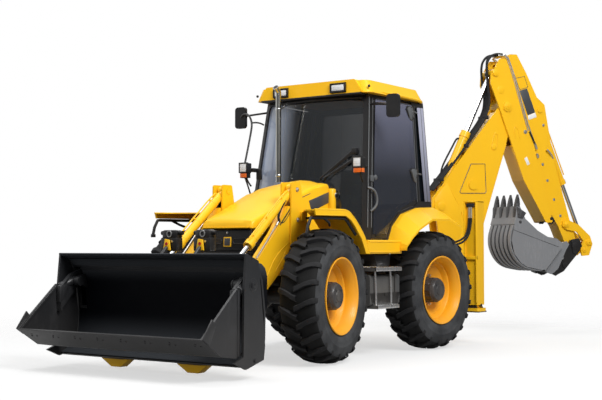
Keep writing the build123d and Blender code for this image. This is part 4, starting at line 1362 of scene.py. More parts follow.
def screen(x: float, z: float, out: float = 0.0) -> Point:
    """Point on the bowed windscreen, moved forwards."""
    nose = NOSE_HALF - NOSE_TAPER * ((z - CAB_SILL) / CAB_RISE)
    return (x, cab_front(z) - SCREEN_BOW * (1.0 - (x / nose) ** 2) - out, z)


@dataclass
class Cab:
    """Pillar strips, door furniture, wipers, lamps, mirrors' arms and roof trim."""

    pane_out: float = 0.0045
    pane_thick: float = 0.003
    stack_x: float = -0.32
    stack_y: float = 0.873
    hinges: tuple[Flat, ...] = ((2.068, 2.799), (2.028, 2.054))
    door_pane: tuple[Flat, ...] = (
        (1.075, 1.345), (1.325, 2.895), (2.075, 2.895), (2.005, 1.77), (1.9, 1.735), (1.64, 1.64),
        (1.44, 1.5), (1.33, 1.345))
    quarter_pane: tuple[Flat, ...] = ((2.165, 1.745), (2.195, 2.885), (2.325, 2.885), (2.285, 1.745))

    def strips(self, s: Shaper) -> None:
        """Light lines along the front pillar and round the door."""
        for dy, out, radius in ((0.028, 0.003, 0.006), (0.1, 0.001, 0.005)):
            s.sweep([on_side(cab_front(z) + dy, z, out) for z in (1.42, 1.9, 2.4, 2.92)], radius, 8)
        s.sweep([on_side(y, z, 0.001) for y, z in ((1.345, 2.905), (1.7, 2.908), (2.05, 2.902))], 0.005, 8)
        s.sweep([on_side(y, z, 0.002) for y, z in ((2.105, 2.88), (2.055, 2.3), (2.012, 1.74))], 0.005, 8)

    def gaskets(self, s: Shaper) -> None:
        """Rubber round the windscreen and the side windows."""
        s.sweep([screen(x, 2.905, 0.002) for x in (0.0, 0.25, 0.45, 0.6, 0.66)], 0.014, 8)
        s.sweep([
            on_side(y, z, 0.0) for y, z in ((2.06, 1.745), (2.14, 2.885), (2.272, 2.885), (2.222, 1.745))],
            0.01, 8, False)
        s.block((0.0, 1.035, 2.928), (0.7, 1.15, 2.951), 0.004)

    def doors(self) -> None:
        """Hinges, handle, seal and pane of each door."""
        for side in Side:
            door = f"door_{side.word}"
            plates, pins = Shaper(side.place), Shaper(side.place)
            for y, z in self.hinges:
                x = cab_side(y, z)
                outline = [(y - 0.12, z + 0.04), (y - 0.095, z + 0.072), (y - 0.006, z + 0.064),
                           (y + 0.006, z + 0.01), (y - 0.015, z - 0.088), (y - 0.06, z - 0.078)]
                plates.plate(outline, x + 0.006, x + 0.026, 0.006)
                plates.ball((x + 0.022, y - 0.015, z + 0.015), 0.018, (0.6, 1.0, 1.0))
                pins.rod((x + 0.01, y + 0.04, z + 0.02), (x + 0.01, y + 0.115, z + 0.015), 0.011, 12)
            plates.finish(f"door_hinge_plates_{side.word}", door, "grey_plastic")
            pins.finish(f"door_hinge_pins_{side.word}", "machine", "grey_plastic")
            edge = Shaper(side.place)
            for y, z in self.hinges:
                x = cab_side(y, z)
                outline = [(y - 0.136, z + 0.046), (y - 0.102, z + 0.084), (y + 0.044, z + 0.076),
                           (y + 0.063, z + 0.01), (y - 0.01, z - 0.103), (y - 0.07, z - 0.092)]
                edge.plate(outline, x - 0.002, x + 0.009, 0.003)
            edge.finish(f"door_hinge_seals_{side.word}", door, "black_plastic")
            handle = Shaper(side.place)
            handle.sweep([
                on_side(1.045, 1.87, 0.004), on_side(1.085, 1.862, 0.05), on_side(1.13, 1.8, 0.055),
                on_side(1.14, 1.72, 0.055), on_side(1.115, 1.65, 0.05), on_side(1.07, 1.605, 0.004)],
                0.014, 12)
            handle.block(
                (cab_side(1.13, 1.97) - 0.02, 1.105, 1.94),
                (cab_side(1.13, 1.97) + 0.018, 1.165, 2.01), 0.006)
            handle.ball(on_side(1.21, 1.99, 0.004), 0.032, (0.5, 1.0, 1.0))
            handle.finish(f"door_handle_{side.word}", door, "grey_plastic", 0.6)
            trim = Shaper(side.place)
            window = ((1.095, 1.35), (1.345, 2.88), (2.04, 2.88), (1.95, 1.76), (1.61, 1.668), (1.392, 1.512),
                      (1.3, 1.35))
            trim.sweep([on_side(y, z, -0.004) for y, z in window + window[:1]], 0.009, 8, False)
            trim.block(
                (cab_side(1.21, 1.33) - 0.014, 1.13, 1.318),
                (cab_side(1.21, 1.33) + 0.002, 1.27, 1.338), 0.003)
            trim.finish(f"door_seal_{side.word}", door, "black_plastic", 0.6)
            pane = Shaper(side.place)
            pane.skin(self.door_pane, self.pane_out, self.pane_thick)
            pane.finish(f"door_pane_{side.word}", door, "door_glass")

    def wipers(self) -> None:
        """Two wipers and their motor cover."""
        wipers = Shaper()
        for low, high, lift in ((0.247, 0.6, 2.29), (0.3, 0.618, 2.195)):
            first, last = screen(low, 1.99, 0.03), screen(high, lift, 0.012)
            wipers.sweep([screen(low - 0.01, 1.96, 0.004), first, last], 0.01, 8, False)
            a, b = Vector(first), Vector(last)
            wipers.rod(
                tuple(a.lerp(b, 0.3) + Vector((0, 0.006, -0.02))),
                tuple(b + Vector((0.02, 0.006, 0.0))), 0.009, 8)
        wipers.block(
            screen(0.6, 2.25, 0.03), tuple(Vector(screen(0.66, 2.32, 0.03)) + Vector((0, 0.05, 0))), 0.01)
        wipers.finish("wipers", "machine", "black_plastic", 0.6)

    def lenses(self, s: Shaper) -> None:
        """Clear lenses of the head and work lamps."""
        s.block((0.752, 0.812, 2.092), (0.848, 0.824, 2.19), 0.006)
        s.block((0.322, 1.02, 2.986), (0.49, 1.034, 3.054), 0.006)

    def ambers(self, s: Shaper) -> None:
        """Direction indicators below the head lamps."""
        s.block((0.752, 0.816, 2.026), (0.848, 0.828, 2.078), 0.006)
        s.block((0.846, 0.83, 2.028), (0.854, 0.89, 2.076), 0.004)

    def bezels(self, s: Shaper) -> None:
        """Raised frames round the lamp lenses."""
        for low, high in (
                ((0.738, 0.808, 2.08), (0.862, 0.84, 2.204)), ((0.3, 1.016, 2.966), (0.512, 1.05, 3.074))):
            (x0, y0, z0), (x1, y1, z1) = low, high
            edge = 0.014
            s.block((x0, y0, z1 - edge), (x1, y1, z1), 0.004)
            s.block((x0, y0, z0), (x1, y1, z0 + edge), 0.004)
            s.block((x0, y0, z0), (x0 + edge, y1, z1), 0.004)
            s.block((x1 - edge, y0, z0), (x1, y1, z1), 0.004)
        s.sweep([(0.8, 0.885, 2.03), (0.8, 0.9, 1.98), (0.79, 0.96, 1.93)], 0.01, 8)

    def gutter(self, s: Shaper) -> None:
        """Drooping gutter along the roof's side and round its rear corner."""
        line = curve([
            (0.77, 1.2, 2.975), (0.806, 1.6, 2.972), (0.808, 2.05, 2.968), (0.79, 2.25, 2.96),
            (0.735, 2.325, 2.952), (0.55, 2.34, 2.952), (0.0, 2.342, 2.952)], 5)
        s.sweep([tuple(p) for p in line], 0.02, 8, False)

    def exhaust(self) -> None:
        """Mouth of the stack, its clamps and its stay."""
        stack = Shaper()
        mouth = Vector((0.0, -0.055, 0.05)).normalized()
        foot = Vector((self.stack_x, 0.818, 3.06))
        stack.rod(tuple(foot - mouth * 0.002), tuple(foot + mouth * 0.002), 0.029, 24)
        stack.finish("exhaust_mouth", "machine", "black_plastic", 0.6)
        clamp = Shaper()
        x, y = self.stack_x, self.stack_y
        clamp.rod((x, y, 2.02), (x, y, 2.045), 0.037, 28, soft=0.003)
        clamp.rod((x, y, 2.8), (x, y, 2.818), 0.035, 28, soft=0.003)
        clamp.sweep(at_x(x, ((y, 2.809), (0.96, 2.815), (1.05, 2.9))), 0.008, 8)
        clamp.spin([(-0.004, 0.028), (0.003, 0.028), (0.003, 0.036), (-0.004, 0.036)], tuple(foot), 28,
                   mouth.to_track_quat("X", "Z").to_matrix().to_4x4())
        clamp.finish("exhaust_clamps", "machine", "chrome_plate", 0.6)

    def mirror_arms(self) -> None:
        """Bent tubes of the mirrors and their brackets."""
        arms = Shaper()
        arms.sweep([
            (-1.08, 1.13, 2.76), (-1.06, 1.11, 2.812), (-0.955, 1.06, 2.832), (-0.838, 1.0, 2.773),
            (-0.792, 0.98, 2.678), (-0.798, 0.97, 2.587), (-0.812, 0.93, 2.4), (-0.822, 0.88, 2.2)],
            0.012, 10)
        arms.sweep([(-0.75, 1.15, 2.676), (-0.735, 1.05, 2.703), (-0.792, 0.985, 2.69)], 0.01, 10)
        arms.sweep(
            [(-0.815, 0.87, 2.03), (-0.8, 0.9, 1.96), (-0.792, 0.93, 1.864), (-0.79, 0.965, 1.8)], 0.01, 10)
        arms.block((-0.83, 0.9, 2.1), (-0.7, 1.0, 2.14), 0.01)
        arms.block((-0.72, 0.96, 2.0), (-0.64, 0.985, 2.13), 0.012)
        arms.sweep(
            [(1.01, 1.135, 2.8), (0.9, 1.15, 2.822), (0.78, 1.2, 2.832), (0.735, 1.225, 2.83)], 0.013, 10)
        arms.finish("mirror_arms", "machine", "black_plastic", 0.6)

    def faces(self, s: Shaper) -> None:
        """Mirror glass on the side that faces the driver."""
        s.block((1.014, 1.149, 2.664), (1.146, 1.153, 2.896), 0.001)

    def build(self) -> None:
        """All pieces, in order."""
        both_sides(self.strips).finish("pillar_strips", "machine", "grey_plastic", 0.6)
        both_sides(self.gaskets).finish("window_gaskets", "machine", "black_plastic", 0.6)
        both_sides(lambda s: s.skin(self.quarter_pane, self.pane_out, self.pane_thick)).finish(
            "quarter_panes", "machine", "quarter_glass")
        self.doors()
        self.wipers()
        both_sides(self.lenses).finish("lamp_lenses", "machine", "lamp_lens")
        both_sides(self.ambers).finish("indicators", "machine", "amber_lens")
        both_sides(self.bezels).finish("lamp_bezels", "machine", "black_plastic")
        both_sides(lambda s: s.ball((0.792, 1.085, 3.018), 0.016)).finish(
            "roof_screws", "machine", "black_plastic", 0.6)
        both_sides(self.gutter).finish("roof_gutter", "machine", "yellow_enamel", 0.6)
        self.exhaust()
        self.mirror_arms()
        both_sides(self.faces).finish("mirror_glass", "machine", "mirror_face")


@dataclass
class Interior:
    """Arm rests, levers, consoles and dashboard seen through the glass."""

    arm_rest_x: float = 0.32
    lever_x: float = 0.3
    console_x: float = 0.49

    def cab_controls(self) -> None:
        """Arm rests, levers, consoles and dashboard."""
        inside = Shaper()
        for sign in (-1, 1):
            x = sign * self.arm_rest_x
            inside.block((x - 0.04, 1.58, 1.66), (x + 0.04, 1.92, 1.72), 0.02)
            x = sign * self.lever_x
            inside.rod((x, 1.5, 1.17), (x, 1.44, 1.78), 0.012, 10)
            inside.ball((x, 1.44, 1.8), 0.026)
            x = sign * self.console_x
            inside.block((x - 0.05, 1.38, 1.17), (x + 0.05, 1.48, 1.6), 0.02)
            inside.block((x - 0.05, 1.46, 1.47), (x + 0.05, 2.1, 1.6), 0.03)
        inside.block((-0.2, 1.045, 1.72), (0.2, 1.2, 1.88), 0.04)
        inside.finish("cab_controls", "machine", "black_plastic", 0.6)

    def build(self) -> None:
        """All pieces, in order."""
        self.cab_controls()


@dataclass(frozen=True)
class Pad:
    """A foam pad under cloth: an outline (y, z) across a width, swollen and then sewn down in channels."""

    name: str
    outline: tuple[Flat, ...]
    half: float
    channels: tuple[float, ...]
    rows: tuple[float, ...]
    up: Vector
    voxel: float = 0.006
    swell: float = 0.012
    pressure: float = 4.0
    frames: int = 20
    seam_depth: float = 0.011
    channel_width: float = 0.01
    row_width: float = 0.008

    def settle(self, piece: bpy.types.Object) -> None:
        """Replace the mesh by what its modifiers make of it."""
        bpy.context.view_layer.update()
        graph = bpy.context.evaluated_depsgraph_get()
        made = bpy.data.meshes.new_from_object(piece.evaluated_get(graph))
        piece.modifiers.clear()
        piece.data = made

    def inflate(self, piece: bpy.types.Object) -> None:
        """Blow the cloth up for a moment and hold every point near where it started."""
        start = [v.co.copy() for v in piece.data.vertices]
        cloth = piece.modifiers.new("filling", "CLOTH")
        cloth.settings.use_pressure = True
        cloth.settings.uniform_pressure_force = self.pressure
        cloth.settings.effector_weights.gravity = 0.0
        for frame in range(1, self.frames + 1):
            bpy.context.scene.frame_set(frame)
        self.settle(piece)
        bpy.context.scene.frame_set(1)
        for vertex, before in zip(piece.data.vertices, start):
            move = vertex.co - before
            if move.length > self.swell:
                vertex.co = before + move.normalized() * self.swell

    def sew(self, piece: bpy.types.Object) -> None:
        """Press the channels and cross rows into the upper face."""
        across = Vector((0.0, self.up.z, -self.up.y))
        for vertex, normal in zip(piece.data.vertices, [v.normal.copy() for v in piece.data.vertices]):
            facing = max(0.0, normal.dot(self.up))
            place = vertex.co - SHIFT
            depth = max([math.exp(-((place.x - x) / self.channel_width) ** 2) for x in self.channels])
            inner = 1.0 if abs(place.x) < max(self.channels) else 0.0
            run = place.dot(across)
            depth = max(
                [depth] + [inner * 0.7 * math.exp(-((run - row) / self.row_width) ** 2)
                for row in self.rows])
            vertex.co -= self.up * (facing * self.seam_depth * depth)

    def build(self) -> None:
        """Make the pad."""
        shape = Shaper()
        shape.plate(self.outline, -self.half, self.half, 0.03)
        piece = shape.finish(self.name, "", "seat_cloth", 3.0)
        remesh = piece.modifiers.new("grid", "REMESH")
        remesh.mode = "VOXEL"
        remesh.voxel_size = self.voxel
        remesh.use_smooth_shade = True
        self.settle(piece)
        self.inflate(piece)
        self.sew(piece)
        piece.modifiers.new("finer", "SUBSURF").levels = 1
        self.settle(piece)
        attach(piece, "machine")


@dataclass
class Seat:
    """Seat cushion, back rest and head rest, on a pedestal with a strap behind."""

    def pads(self) -> None:
        """The three padded pieces."""
        lean = Vector((0.0, -0.984, 0.18))
        Pad(
            "seat_cushion", ((1.494, 1.498), (1.494, 1.588), (1.946, 1.588), (1.946, 1.498)), 0.246,
            (-0.15, 0.15), (1.62, 1.76), Vector((0.0, 0.0, 1.0))).build()
        Pad(
            "seat_back", ((1.92, 1.62), (2.024, 2.166), (2.074, 2.166), (1.978, 1.62)), 0.226,
            (-0.135, 0.135), (2.15, 2.3), lean).build()
        Pad("head_rest", ((2.03, 2.2), (2.05, 2.33), (2.1, 2.33), (2.085, 2.2)), 0.13, (-0.3, 0.3), (),
            lean).build()

    def seat_frame(self) -> None:
        """Pedestal with bellows, the shell behind the pads and the head rest's rods."""
        frame = Shaper()
        frame.block((-0.18, 1.56, 1.16), (0.18, 1.9, 1.21), 0.008)
        frame.block((-0.18, 1.56, 1.44), (0.18, 1.9, 1.484), 0.008)
        for step in range(5):
            z = 1.232 + step * 0.045
            frame.block((-0.165, 1.575, z - 0.018), (0.165, 1.885, z + 0.018), 0.014)
        frame.plate([
            (1.86, 1.445), (1.985, 1.445), (2.008, 1.602), (2.062, 1.9), (2.046, 1.9), (1.996, 1.602),
            (1.975, 1.462), (1.86, 1.462)], -0.16, 0.16, 0.003)
        for x in (-0.06, 0.06):
            frame.rod((x, 2.045, 2.1), (x, 2.068, 2.26), 0.007, 12)
        frame.finish("seat_frame", "machine", "black_plastic", 0.5, ("seat",))

    def build(self) -> None:
        """All pieces, in order."""
        self.pads()
        self.seat_frame()


# ---- steps, stabilisers and rear ----
@dataclass
class Steps:
    """Bright step edges with grip teeth, tank straps and catches."""

    tooth_pitch: float = 0.045

    def edges(self, s: Shaper) -> None:
        """Step edges."""
        for y0, y1, z0, z1 in ((0.765, 1.31, 0.94, 0.978), (0.8, 1.25, 0.53, 0.565)):
            s.block((1.06, y0, z0), (1.08, y1, z1), 0.003)
            s.block((0.85, y0, z1 - 0.001), (1.075, y1, z1 + 0.004), 0.001)
            for index in range(int((y1 - y0) / self.tooth_pitch)):
                y = y0 + 0.02 + index * self.tooth_pitch
                s.block((0.9, y, z1), (1.07, y + 0.012, z1 + 0.01), 0.002, 1)
        for y in (0.83, 1.15):
            s.sweep([(1.02, y, 0.94), (1.04, y, 0.7), (1.03, y, 0.555)], 0.012, 8)

    def tank(self, s: Shaper) -> None:
        """Straps, catch and the lower shield of the side tank."""
        for y in (0.86, 1.26):
            s.block((0.596, y, 0.556), (1.004, y + 0.035, 0.904), 0.006)
        s.plate([(0.765, 0.7), (1.38, 0.7), (1.33, 0.562), (0.81, 0.562)], 1.0, 1.006, 0.002)
        s.block((1.0, 1.05, 0.665), (1.016, 1.1, 0.7), 0.004)
        s.plate([(0.96, 1.13), (1.33, 1.13), (1.3, 0.985), (1.02, 0.985)], 0.7, 0.93, 0.02)

    def build(self) -> None:
        """All pieces, in order."""
        both_sides(self.edges).finish("step_edges", "machine", "bright_tread")
        both_sides(self.tank).finish("tank_fittings", "machine", "black_enamel")
        both_sides(
            lambda s: s.sweep(at_x(1.056, ((0.66, 1.262), (1.32, 1.262), (1.32, 1.15), (0.66, 1.15))), 0.006,
            8, False)).finish("sill_rims", "machine", "yellow_enamel", 0.6)


@dataclass
class Rear:
    """Channel lips, hoses, fittings and feet of the stabilisers, and the rear lamps."""

    def lips(self, s: Shaper) -> None:
        """Flanges that make the column read as an open channel from the front."""
        s.block((1.0, 2.952, 0.52), (1.014, 2.984, 1.768), 0.003)
        s.block((1.161, 2.952, 0.52), (1.175, 2.984, 1.768), 0.003)
        s.block((1.0, 2.952, 1.756), (1.175, 3.165, 1.776), 0.004)
        s.block((1.0, 2.956, 1.05), (1.175, 2.984, 1.09), 0.003)

    def hoses(self, s: Shaper) -> None:
        """Pair of hoses down the front of the column."""
        for x, bend in ((1.07, 0.0), (1.098, 0.03)):
            s.sweep([
                (x, 2.965, 1.56), (x, 2.955, 1.46), (x - 0.01, 2.93, 1.36), (x - 0.05, 2.87, 1.29 - bend),
                (x - 0.12, 2.8, 1.26 - bend), (x - 0.3, 2.78, 1.2)], 0.013, 10)
        s.block((1.035, 2.955, 1.7), (1.14, 2.982, 1.745), 0.008)

    def feet(self) -> None:
        """Foot plate, gussets and pin of each stabiliser."""
        for side in Side:
            foot = Shaper(side.place)
            foot.block((0.99, 2.962, 0.398), (1.195, 3.182, 0.414), 0.004)
            for y in (2.99, 3.14):
                foot.plate(
                    [(1.02, 0.448), (1.165, 0.448), (1.13, 0.52), (1.05, 0.52)], y, y + 0.012, 0.003, "Y")
            foot.rod((1.0, 3.072, 0.485), (1.18, 3.072, 0.485), 0.02, 20)
            foot.finish(f"stabiliser_foot_{side.word}", f"stabiliser_{side.word}", "black_enamel")

    def lamps(self, s: Shaper) -> None:
        """Rear lamp boxes on the mudguards."""
        s.block((0.7, 2.3, 1.71), (0.83, 2.335, 1.83), 0.012)

    def build(self) -> None:
        """All pieces, in order."""
        both_sides(self.lips).finish("stabiliser_lips", "machine", "yellow_enamel")
        both_sides(self.hoses).finish("stabiliser_hoses", "machine", "hose_rubber", 0.6)
        both_sides(
            lambda s: [s.rod((x, 2.966, 1.565), (x, 2.968, 1.7), 0.014, 12) for x in (1.07,
            1.098)]).finish("stabiliser_fittings", "machine", "zinc_plate", 0.6)
        self.feet()
        both_sides(self.lamps).finish("rear_lamp_boxes", "machine", "black_plastic")
        both_sides(lambda s: s.block((0.71, 2.333, 1.72), (0.76, 2.342, 1.82), 0.005)).finish(
            "rear_lamp_red", "machine", "red_lens")
        both_sides(lambda s: s.block((0.77, 2.333, 1.72), (0.82, 2.342, 1.82), 0.005)).finish(
            "rear_lamp_amber", "machine", "amber_lens")
        both_sides(lambda s: s.block((0.4, 2.295, 2.968), (0.56, 2.345, 3.052), 0.01)).finish(
            "rear_work_lamps", "machine", "lamp_lens")


# ---- backhoe ----
@dataclass
class Backhoe:
    """Bosses, pipes, hoses and labels of the boom and dipper."""

    boom_side: float = 0.1155
    dipper_side: float = 0.1475

    def boom_bosses(self) -> None:
        """Pin bosses, caps, weld lines and side plates of the boom."""
        bosses = both_sides(lambda s: [
            s.cap((0.127, 1.304, 3.137), (1, 0, 0), 0.05, 0.01),
            s.cap((0.114, 0.45, 0.62), (1, 0, 0), 0.07, 0.016),
            s.rod((0.11, 1.104, 2.574), (0.124, 1.104, 2.574), 0.042, 28, soft=0.003),
            s.rod((0.11, 1.141, 2.76), (0.12, 1.141, 2.76), 0.018, 20, soft=0.003),
            s.rod((0.11, 0.285, 1.752), (0.134, 0.285, 1.752), 0.06, 28, soft=0.004)], HOE)
        for sign in (-1, 1):
            x = sign * self.boom_side
            bosses.sweep(
                at_x(x, ((1.062, 2.56), (1.105, 2.765), (1.141, 2.79), (1.172, 2.755), (1.146, 2.56))),
                0.005, 6)
            bosses.sweep(
                at_x(x, ((0.3, 2.03), (0.373, 2.075), (0.45, 1.93), (0.6, 1.7), (0.64, 1.52))), 0.006, 6)
            bosses.plate(
                [(0.2, 1.7), (0.18, 1.84), (0.37, 2.065), (0.585, 1.7), (0.59, 1.4), (0.3, 0.9)],
                min(x, x + sign * 0.006), max(x, x + sign * 0.006), 0.003)
        bosses.finish("boom_bosses", "boom", "yellow_enamel")

    def frame(self, s: Shaper) -> None:
        """Bare border on the boom's side."""
        corners = (
            (0.742, 2.33), (0.96, 2.336), (0.975, 1.955), (0.955, 1.937), (0.585, 1.93),
            (0.568, 1.948), (0.742, 2.33))
        s.sweep(at_x(self.boom_side, corners), 0.0055, 6, False)

    def dipper_bosses(self) -> None:
        """Pin bosses, caps and weld lines of the dipper."""
        upper = both_sides(lambda s: [
            s.rod((0.14, 1.117, 3.589), (0.166, 1.117, 3.589), 0.046, 28, soft=0.004),
            s.rod((0.145, 1.197, 3.357), (0.15, 1.197, 3.357), 0.056, 28, soft=0.002),
            s.cap((0.158, 1.304, 3.137), (1, 0, 0), 0.058, 0.012)], HOE)
        for sign in (-1, 1):
            upper.sweep(
                at_x(sign * self.dipper_side, ((1.425, 2.7), (1.395, 2.84), (1.425, 2.88), (1.465, 2.85),
                (1.5, 2.69))), 0.005, 6)
        upper.finish("dipper_bosses", "dipper", "yellow_enamel")

    def dipper_pipes(self) -> None:
        """Pairs of metal pipes along the dipper with their unions."""
        pipe = ((1.3, 3.815), (1.395, 3.6), (1.475, 3.33), (1.56, 3.06), (1.64, 2.82), (1.76, 2.56))
        pipes = both_sides(
            lambda s: [s.sweep([(0.15, y + 0.012, z) for y, z in pipe], 0.01, 10),
            s.sweep([(0.15, y - 0.012, z - 0.01) for y, z in pipe[:5]], 0.008, 10)], HOE)
        for sign in (-1, 1):
            for y, z, along_y, along_z in (
                    (1.73, 2.64, 0.03, -0.08), (1.765, 2.5, 0.018, -0.06), (1.3, 3.8, -0.05, 0.045)):
                pipes.rod((sign * 0.152, y, z), (sign * 0.152, y + along_y, z + along_z), 0.019, 14)
            pipes.bolt((sign * 0.147, 1.585, 2.794), (sign, 0, 0), 0.018, 0.014)
            pipes.sweep(
                [(sign * 0.14, 1.939, 2.56), (sign * 0.135, 2.02, 2.5), (sign * 0.1, 2.06, 2.44)], 0.013, 8)
        pipes.finish("dipper_pipes", "dipper", "zinc_plate", 0.6)

    def dipper_panels(self) -> None:
        """Bare dark panels and borders on the extension."""
        panels = both_sides(
            lambda s: s.plate([(1.519, 3.368), (1.641, 3.405), (1.771, 3.077), (1.649, 3.03)], 0.108,
            0.1115, 0.001), HOE)
        for sign in (-1, 1):
            border = ((1.455, 3.535), (1.6, 3.572), (1.655, 3.425), (1.526, 3.382), (1.455, 3.535))
            panels.sweep(at_x(sign * 0.1105, border), 0.004, 6, False)
        panels.finish("dipper_panels", "dipper_extension", "panel_grey")

    def extension_studs(self) -> None:
        """Wear pad studs of the extension."""
        spots = (
            (1.85, 3.116), (1.904, 2.904), (1.962, 2.131), (2.065, 1.867), (2.168, 1.642), (1.886, 2.355))
        studs = both_sides(lambda s: [s.bolt((0.109, y, z), (1, 0, 0), 0.013, 0.01) for y, z in spots], HOE)
        studs.finish("extension_studs", "dipper_extension", "zinc_plate")

    def build(self) -> None:
        """All pieces, in order."""
        self.boom_bosses()
        both_sides(self.frame, HOE).finish("boom_border", "boom", "panel_grey", 0.6)
        self.dipper_bosses()
        self.dipper_pipes()
        both_sides(
            lambda s: s.sweep([(0.154, 1.65, 2.8), (0.16, 1.7, 2.7), (0.158, 1.745, 2.6)], 0.013, 10),
            HOE).finish("dipper_hoses", "dipper", "hose_rubber", 0.6)
        self.dipper_panels()
        both_sides(
            lambda s: s.plate([(1.649, 3.028), (1.771, 3.075), (1.794, 3.012), (1.662, 2.966)], 0.108,
            0.1115, 0.001), HOE).finish("dipper_bands", "dipper_extension", "white_band")
        both_sides(
            lambda s: s.plate([(1.566, 2.428), (1.606, 2.452), (1.655, 2.352), (1.612, 2.33)], 0.145, 0.1485,
            0.001), HOE).finish("dipper_label", "dipper", "white_band")
        self.extension_studs()
        both_sides(lambda s: [
            s.plate([(1.965, 1.53), (2.03, 1.53), (2.075, 1.57), (2.045, 1.62), (1.99, 1.6)], 0.112, 0.122,
            0.002), s.rod((0.118, 1.995, 1.6), (0.15, 1.995, 1.6), 0.022, 16)], HOE).finish("wear_pads",
            "dipper", "black_plastic")


@dataclass
class HoeHoses:
    """Hose bundle up the boom and over the dipper's top, and the dipper ram's feed."""

    hoses: int = 5
    hose_pitch: float = 0.035
    # a ram's lower pin and its upper one, as (y, z)
    dipper_ram: tuple[Flat, Flat] = ((0.254, 1.75), (1.117, 3.589))
    bucket_ram: tuple[Flat, Flat] = ((1.847, 3.121), (2.613, 1.272))

    def lanes(self) -> list[float]:
        """Place across the boom of every hose."""
        return [-0.07 + self.hose_pitch * index for index in range(self.hoses)]

    def axis(self, ram: tuple[Flat, Flat]) -> tuple[Vector, Vector]:
        """Base of a ram and its direction."""
        (y0, z0), (y1, z1) = ram
        return Vector((0.0, y0, z0)), Vector((0.0, y1 - y0, z1 - z0)).normalized()

    def boom_hoses(self) -> None:
        """Hose bundle up the boom with its clamps."""
        route = ((0.2, 1.95), (0.33, 2.1), (0.52, 2.33), (0.715, 2.57), (0.9, 2.8), (1.03, 2.97),
                 (1.085, 3.14), (1.08, 3.26))
        bundle = Shaper(HOE)
        for index, x in enumerate(self.lanes()):
            sway = 0.018 * ((index * 3) % 4)
            bundle.sweep([(x, y - 0.016 - sway * 0.3, z + 0.012 + sway * 0.2) for y, z in route], 0.016, 10)
        for y, z in route[1:6:2]:
            bundle.block((-0.1, y - 0.05, z - 0.015), (0.1, y + 0.01, z + 0.035), 0.008)
        bundle.finish("boom_hoses", "boom", "hose_rubber", 0.6)

    def dipper_top_hoses(self) -> None:
        """Hose loops that bend over the boom's head."""
        over = ((1.08, 3.26), (1.06, 3.4), (1.04, 3.54), (1.035, 3.68), (1.07, 3.79), (1.17, 3.862),
                (1.29, 3.85))
        loops = Shaper(HOE)
        bulge = (0.0, 0.6, 1.0, 0.8, 0.4, 0.0, 0.0)
        for index, x in enumerate(self.lanes()):
            sway = 0.02 * ((index * 3) % 4)
            loops.sweep([
                (x, y - 0.016 + sway * 1.4 * share, z + 0.012) for (y, z), share in zip(over, bulge)],
                0.017, 10)
        piece = loops.finish("dipper_top_hoses", "", "hose_rubber", 0.6)
        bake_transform(piece)

    def dipper_top_ferrules(self) -> None:
        """Metal ends of the loops."""
        ends = Shaper(HOE)
        for x in self.lanes():
            ends.rod((x, 1.2, 3.846), (x, 1.285, 3.842), 0.019, 12)
        ends.finish("dipper_top_ferrules", "dipper", "zinc_plate", 0.6)

    def dipper_ram_feed(self) -> None:
        """Hose to the dipper ram."""
        feed = Shaper(HOE)
        feed.sweep([
            (0.0, 0.629, 2.679), (-0.005, 0.602, 2.69), (-0.01, 0.575, 2.655), (-0.01, 0.53, 2.57),
            (-0.01, 0.4, 2.357), (-0.01, 0.345, 2.23), (-0.01, 0.35, 2.15), (0.0, 0.39, 2.1)], 0.013, 10)
        feed.finish("dipper_ram_feed", "dipper_ram_barrel", "hose_rubber", 0.6)

    def boom_foot_hose(self) -> None:
        """Hose at the boom's foot."""
        tail = Shaper(HOE)
        tail.sweep(
            at_x(0.1, ((0.44, 2.11), (0.38, 2.105), (0.31, 2.045), (0.265, 1.96), (0.262, 1.84),
            (0.29, 1.74))), 0.014, 10)
        tail.finish("boom_foot_hose", "boom", "hose_rubber", 0.6)

    def dipper_ram_bands(self) -> None:
        """Clamps and gland of the dipper ram."""
        gland = Shaper(HOE)
        base, direction = self.axis(self.dipper_ram)
        for distance in (0.25, 0.66, 1.0):
            gland.collar(base + direction * distance, base + direction * (distance + 0.03), 0.0655, 0.056)
        gland.collar(base + direction * 1.045, base + direction * 1.08, 0.071, 0.056)
        gland.finish("dipper_ram_bands", "dipper_ram_barrel", "yellow_enamel")

    def bucket_ram_bands(self) -> None:
        """Gland and pipe of the bucket ram."""
        second = Shaper(HOE)
        base, direction = self.axis(self.bucket_ram)
        second.collar(base + direction * 1.06, base + direction * 1.118, 0.06, 0.046)
        second.sweep([
            (0.0, *(base + direction * d + Vector((0, 0.075, 0.03)))[1:]) for d in (0.15, 0.4, 0.8, 1.0)],
            0.009, 8)
        second.finish("bucket_ram_bands", "bucket_ram_barrel", "yellow_enamel")

    def build(self) -> None:
        """All pieces, in order."""
        self.boom_hoses()
        self.dipper_top_hoses()
        self.dipper_top_ferrules()
        self.dipper_ram_feed()
        self.boom_foot_hose()
        self.dipper_ram_bands()
        self.bucket_ram_bands()


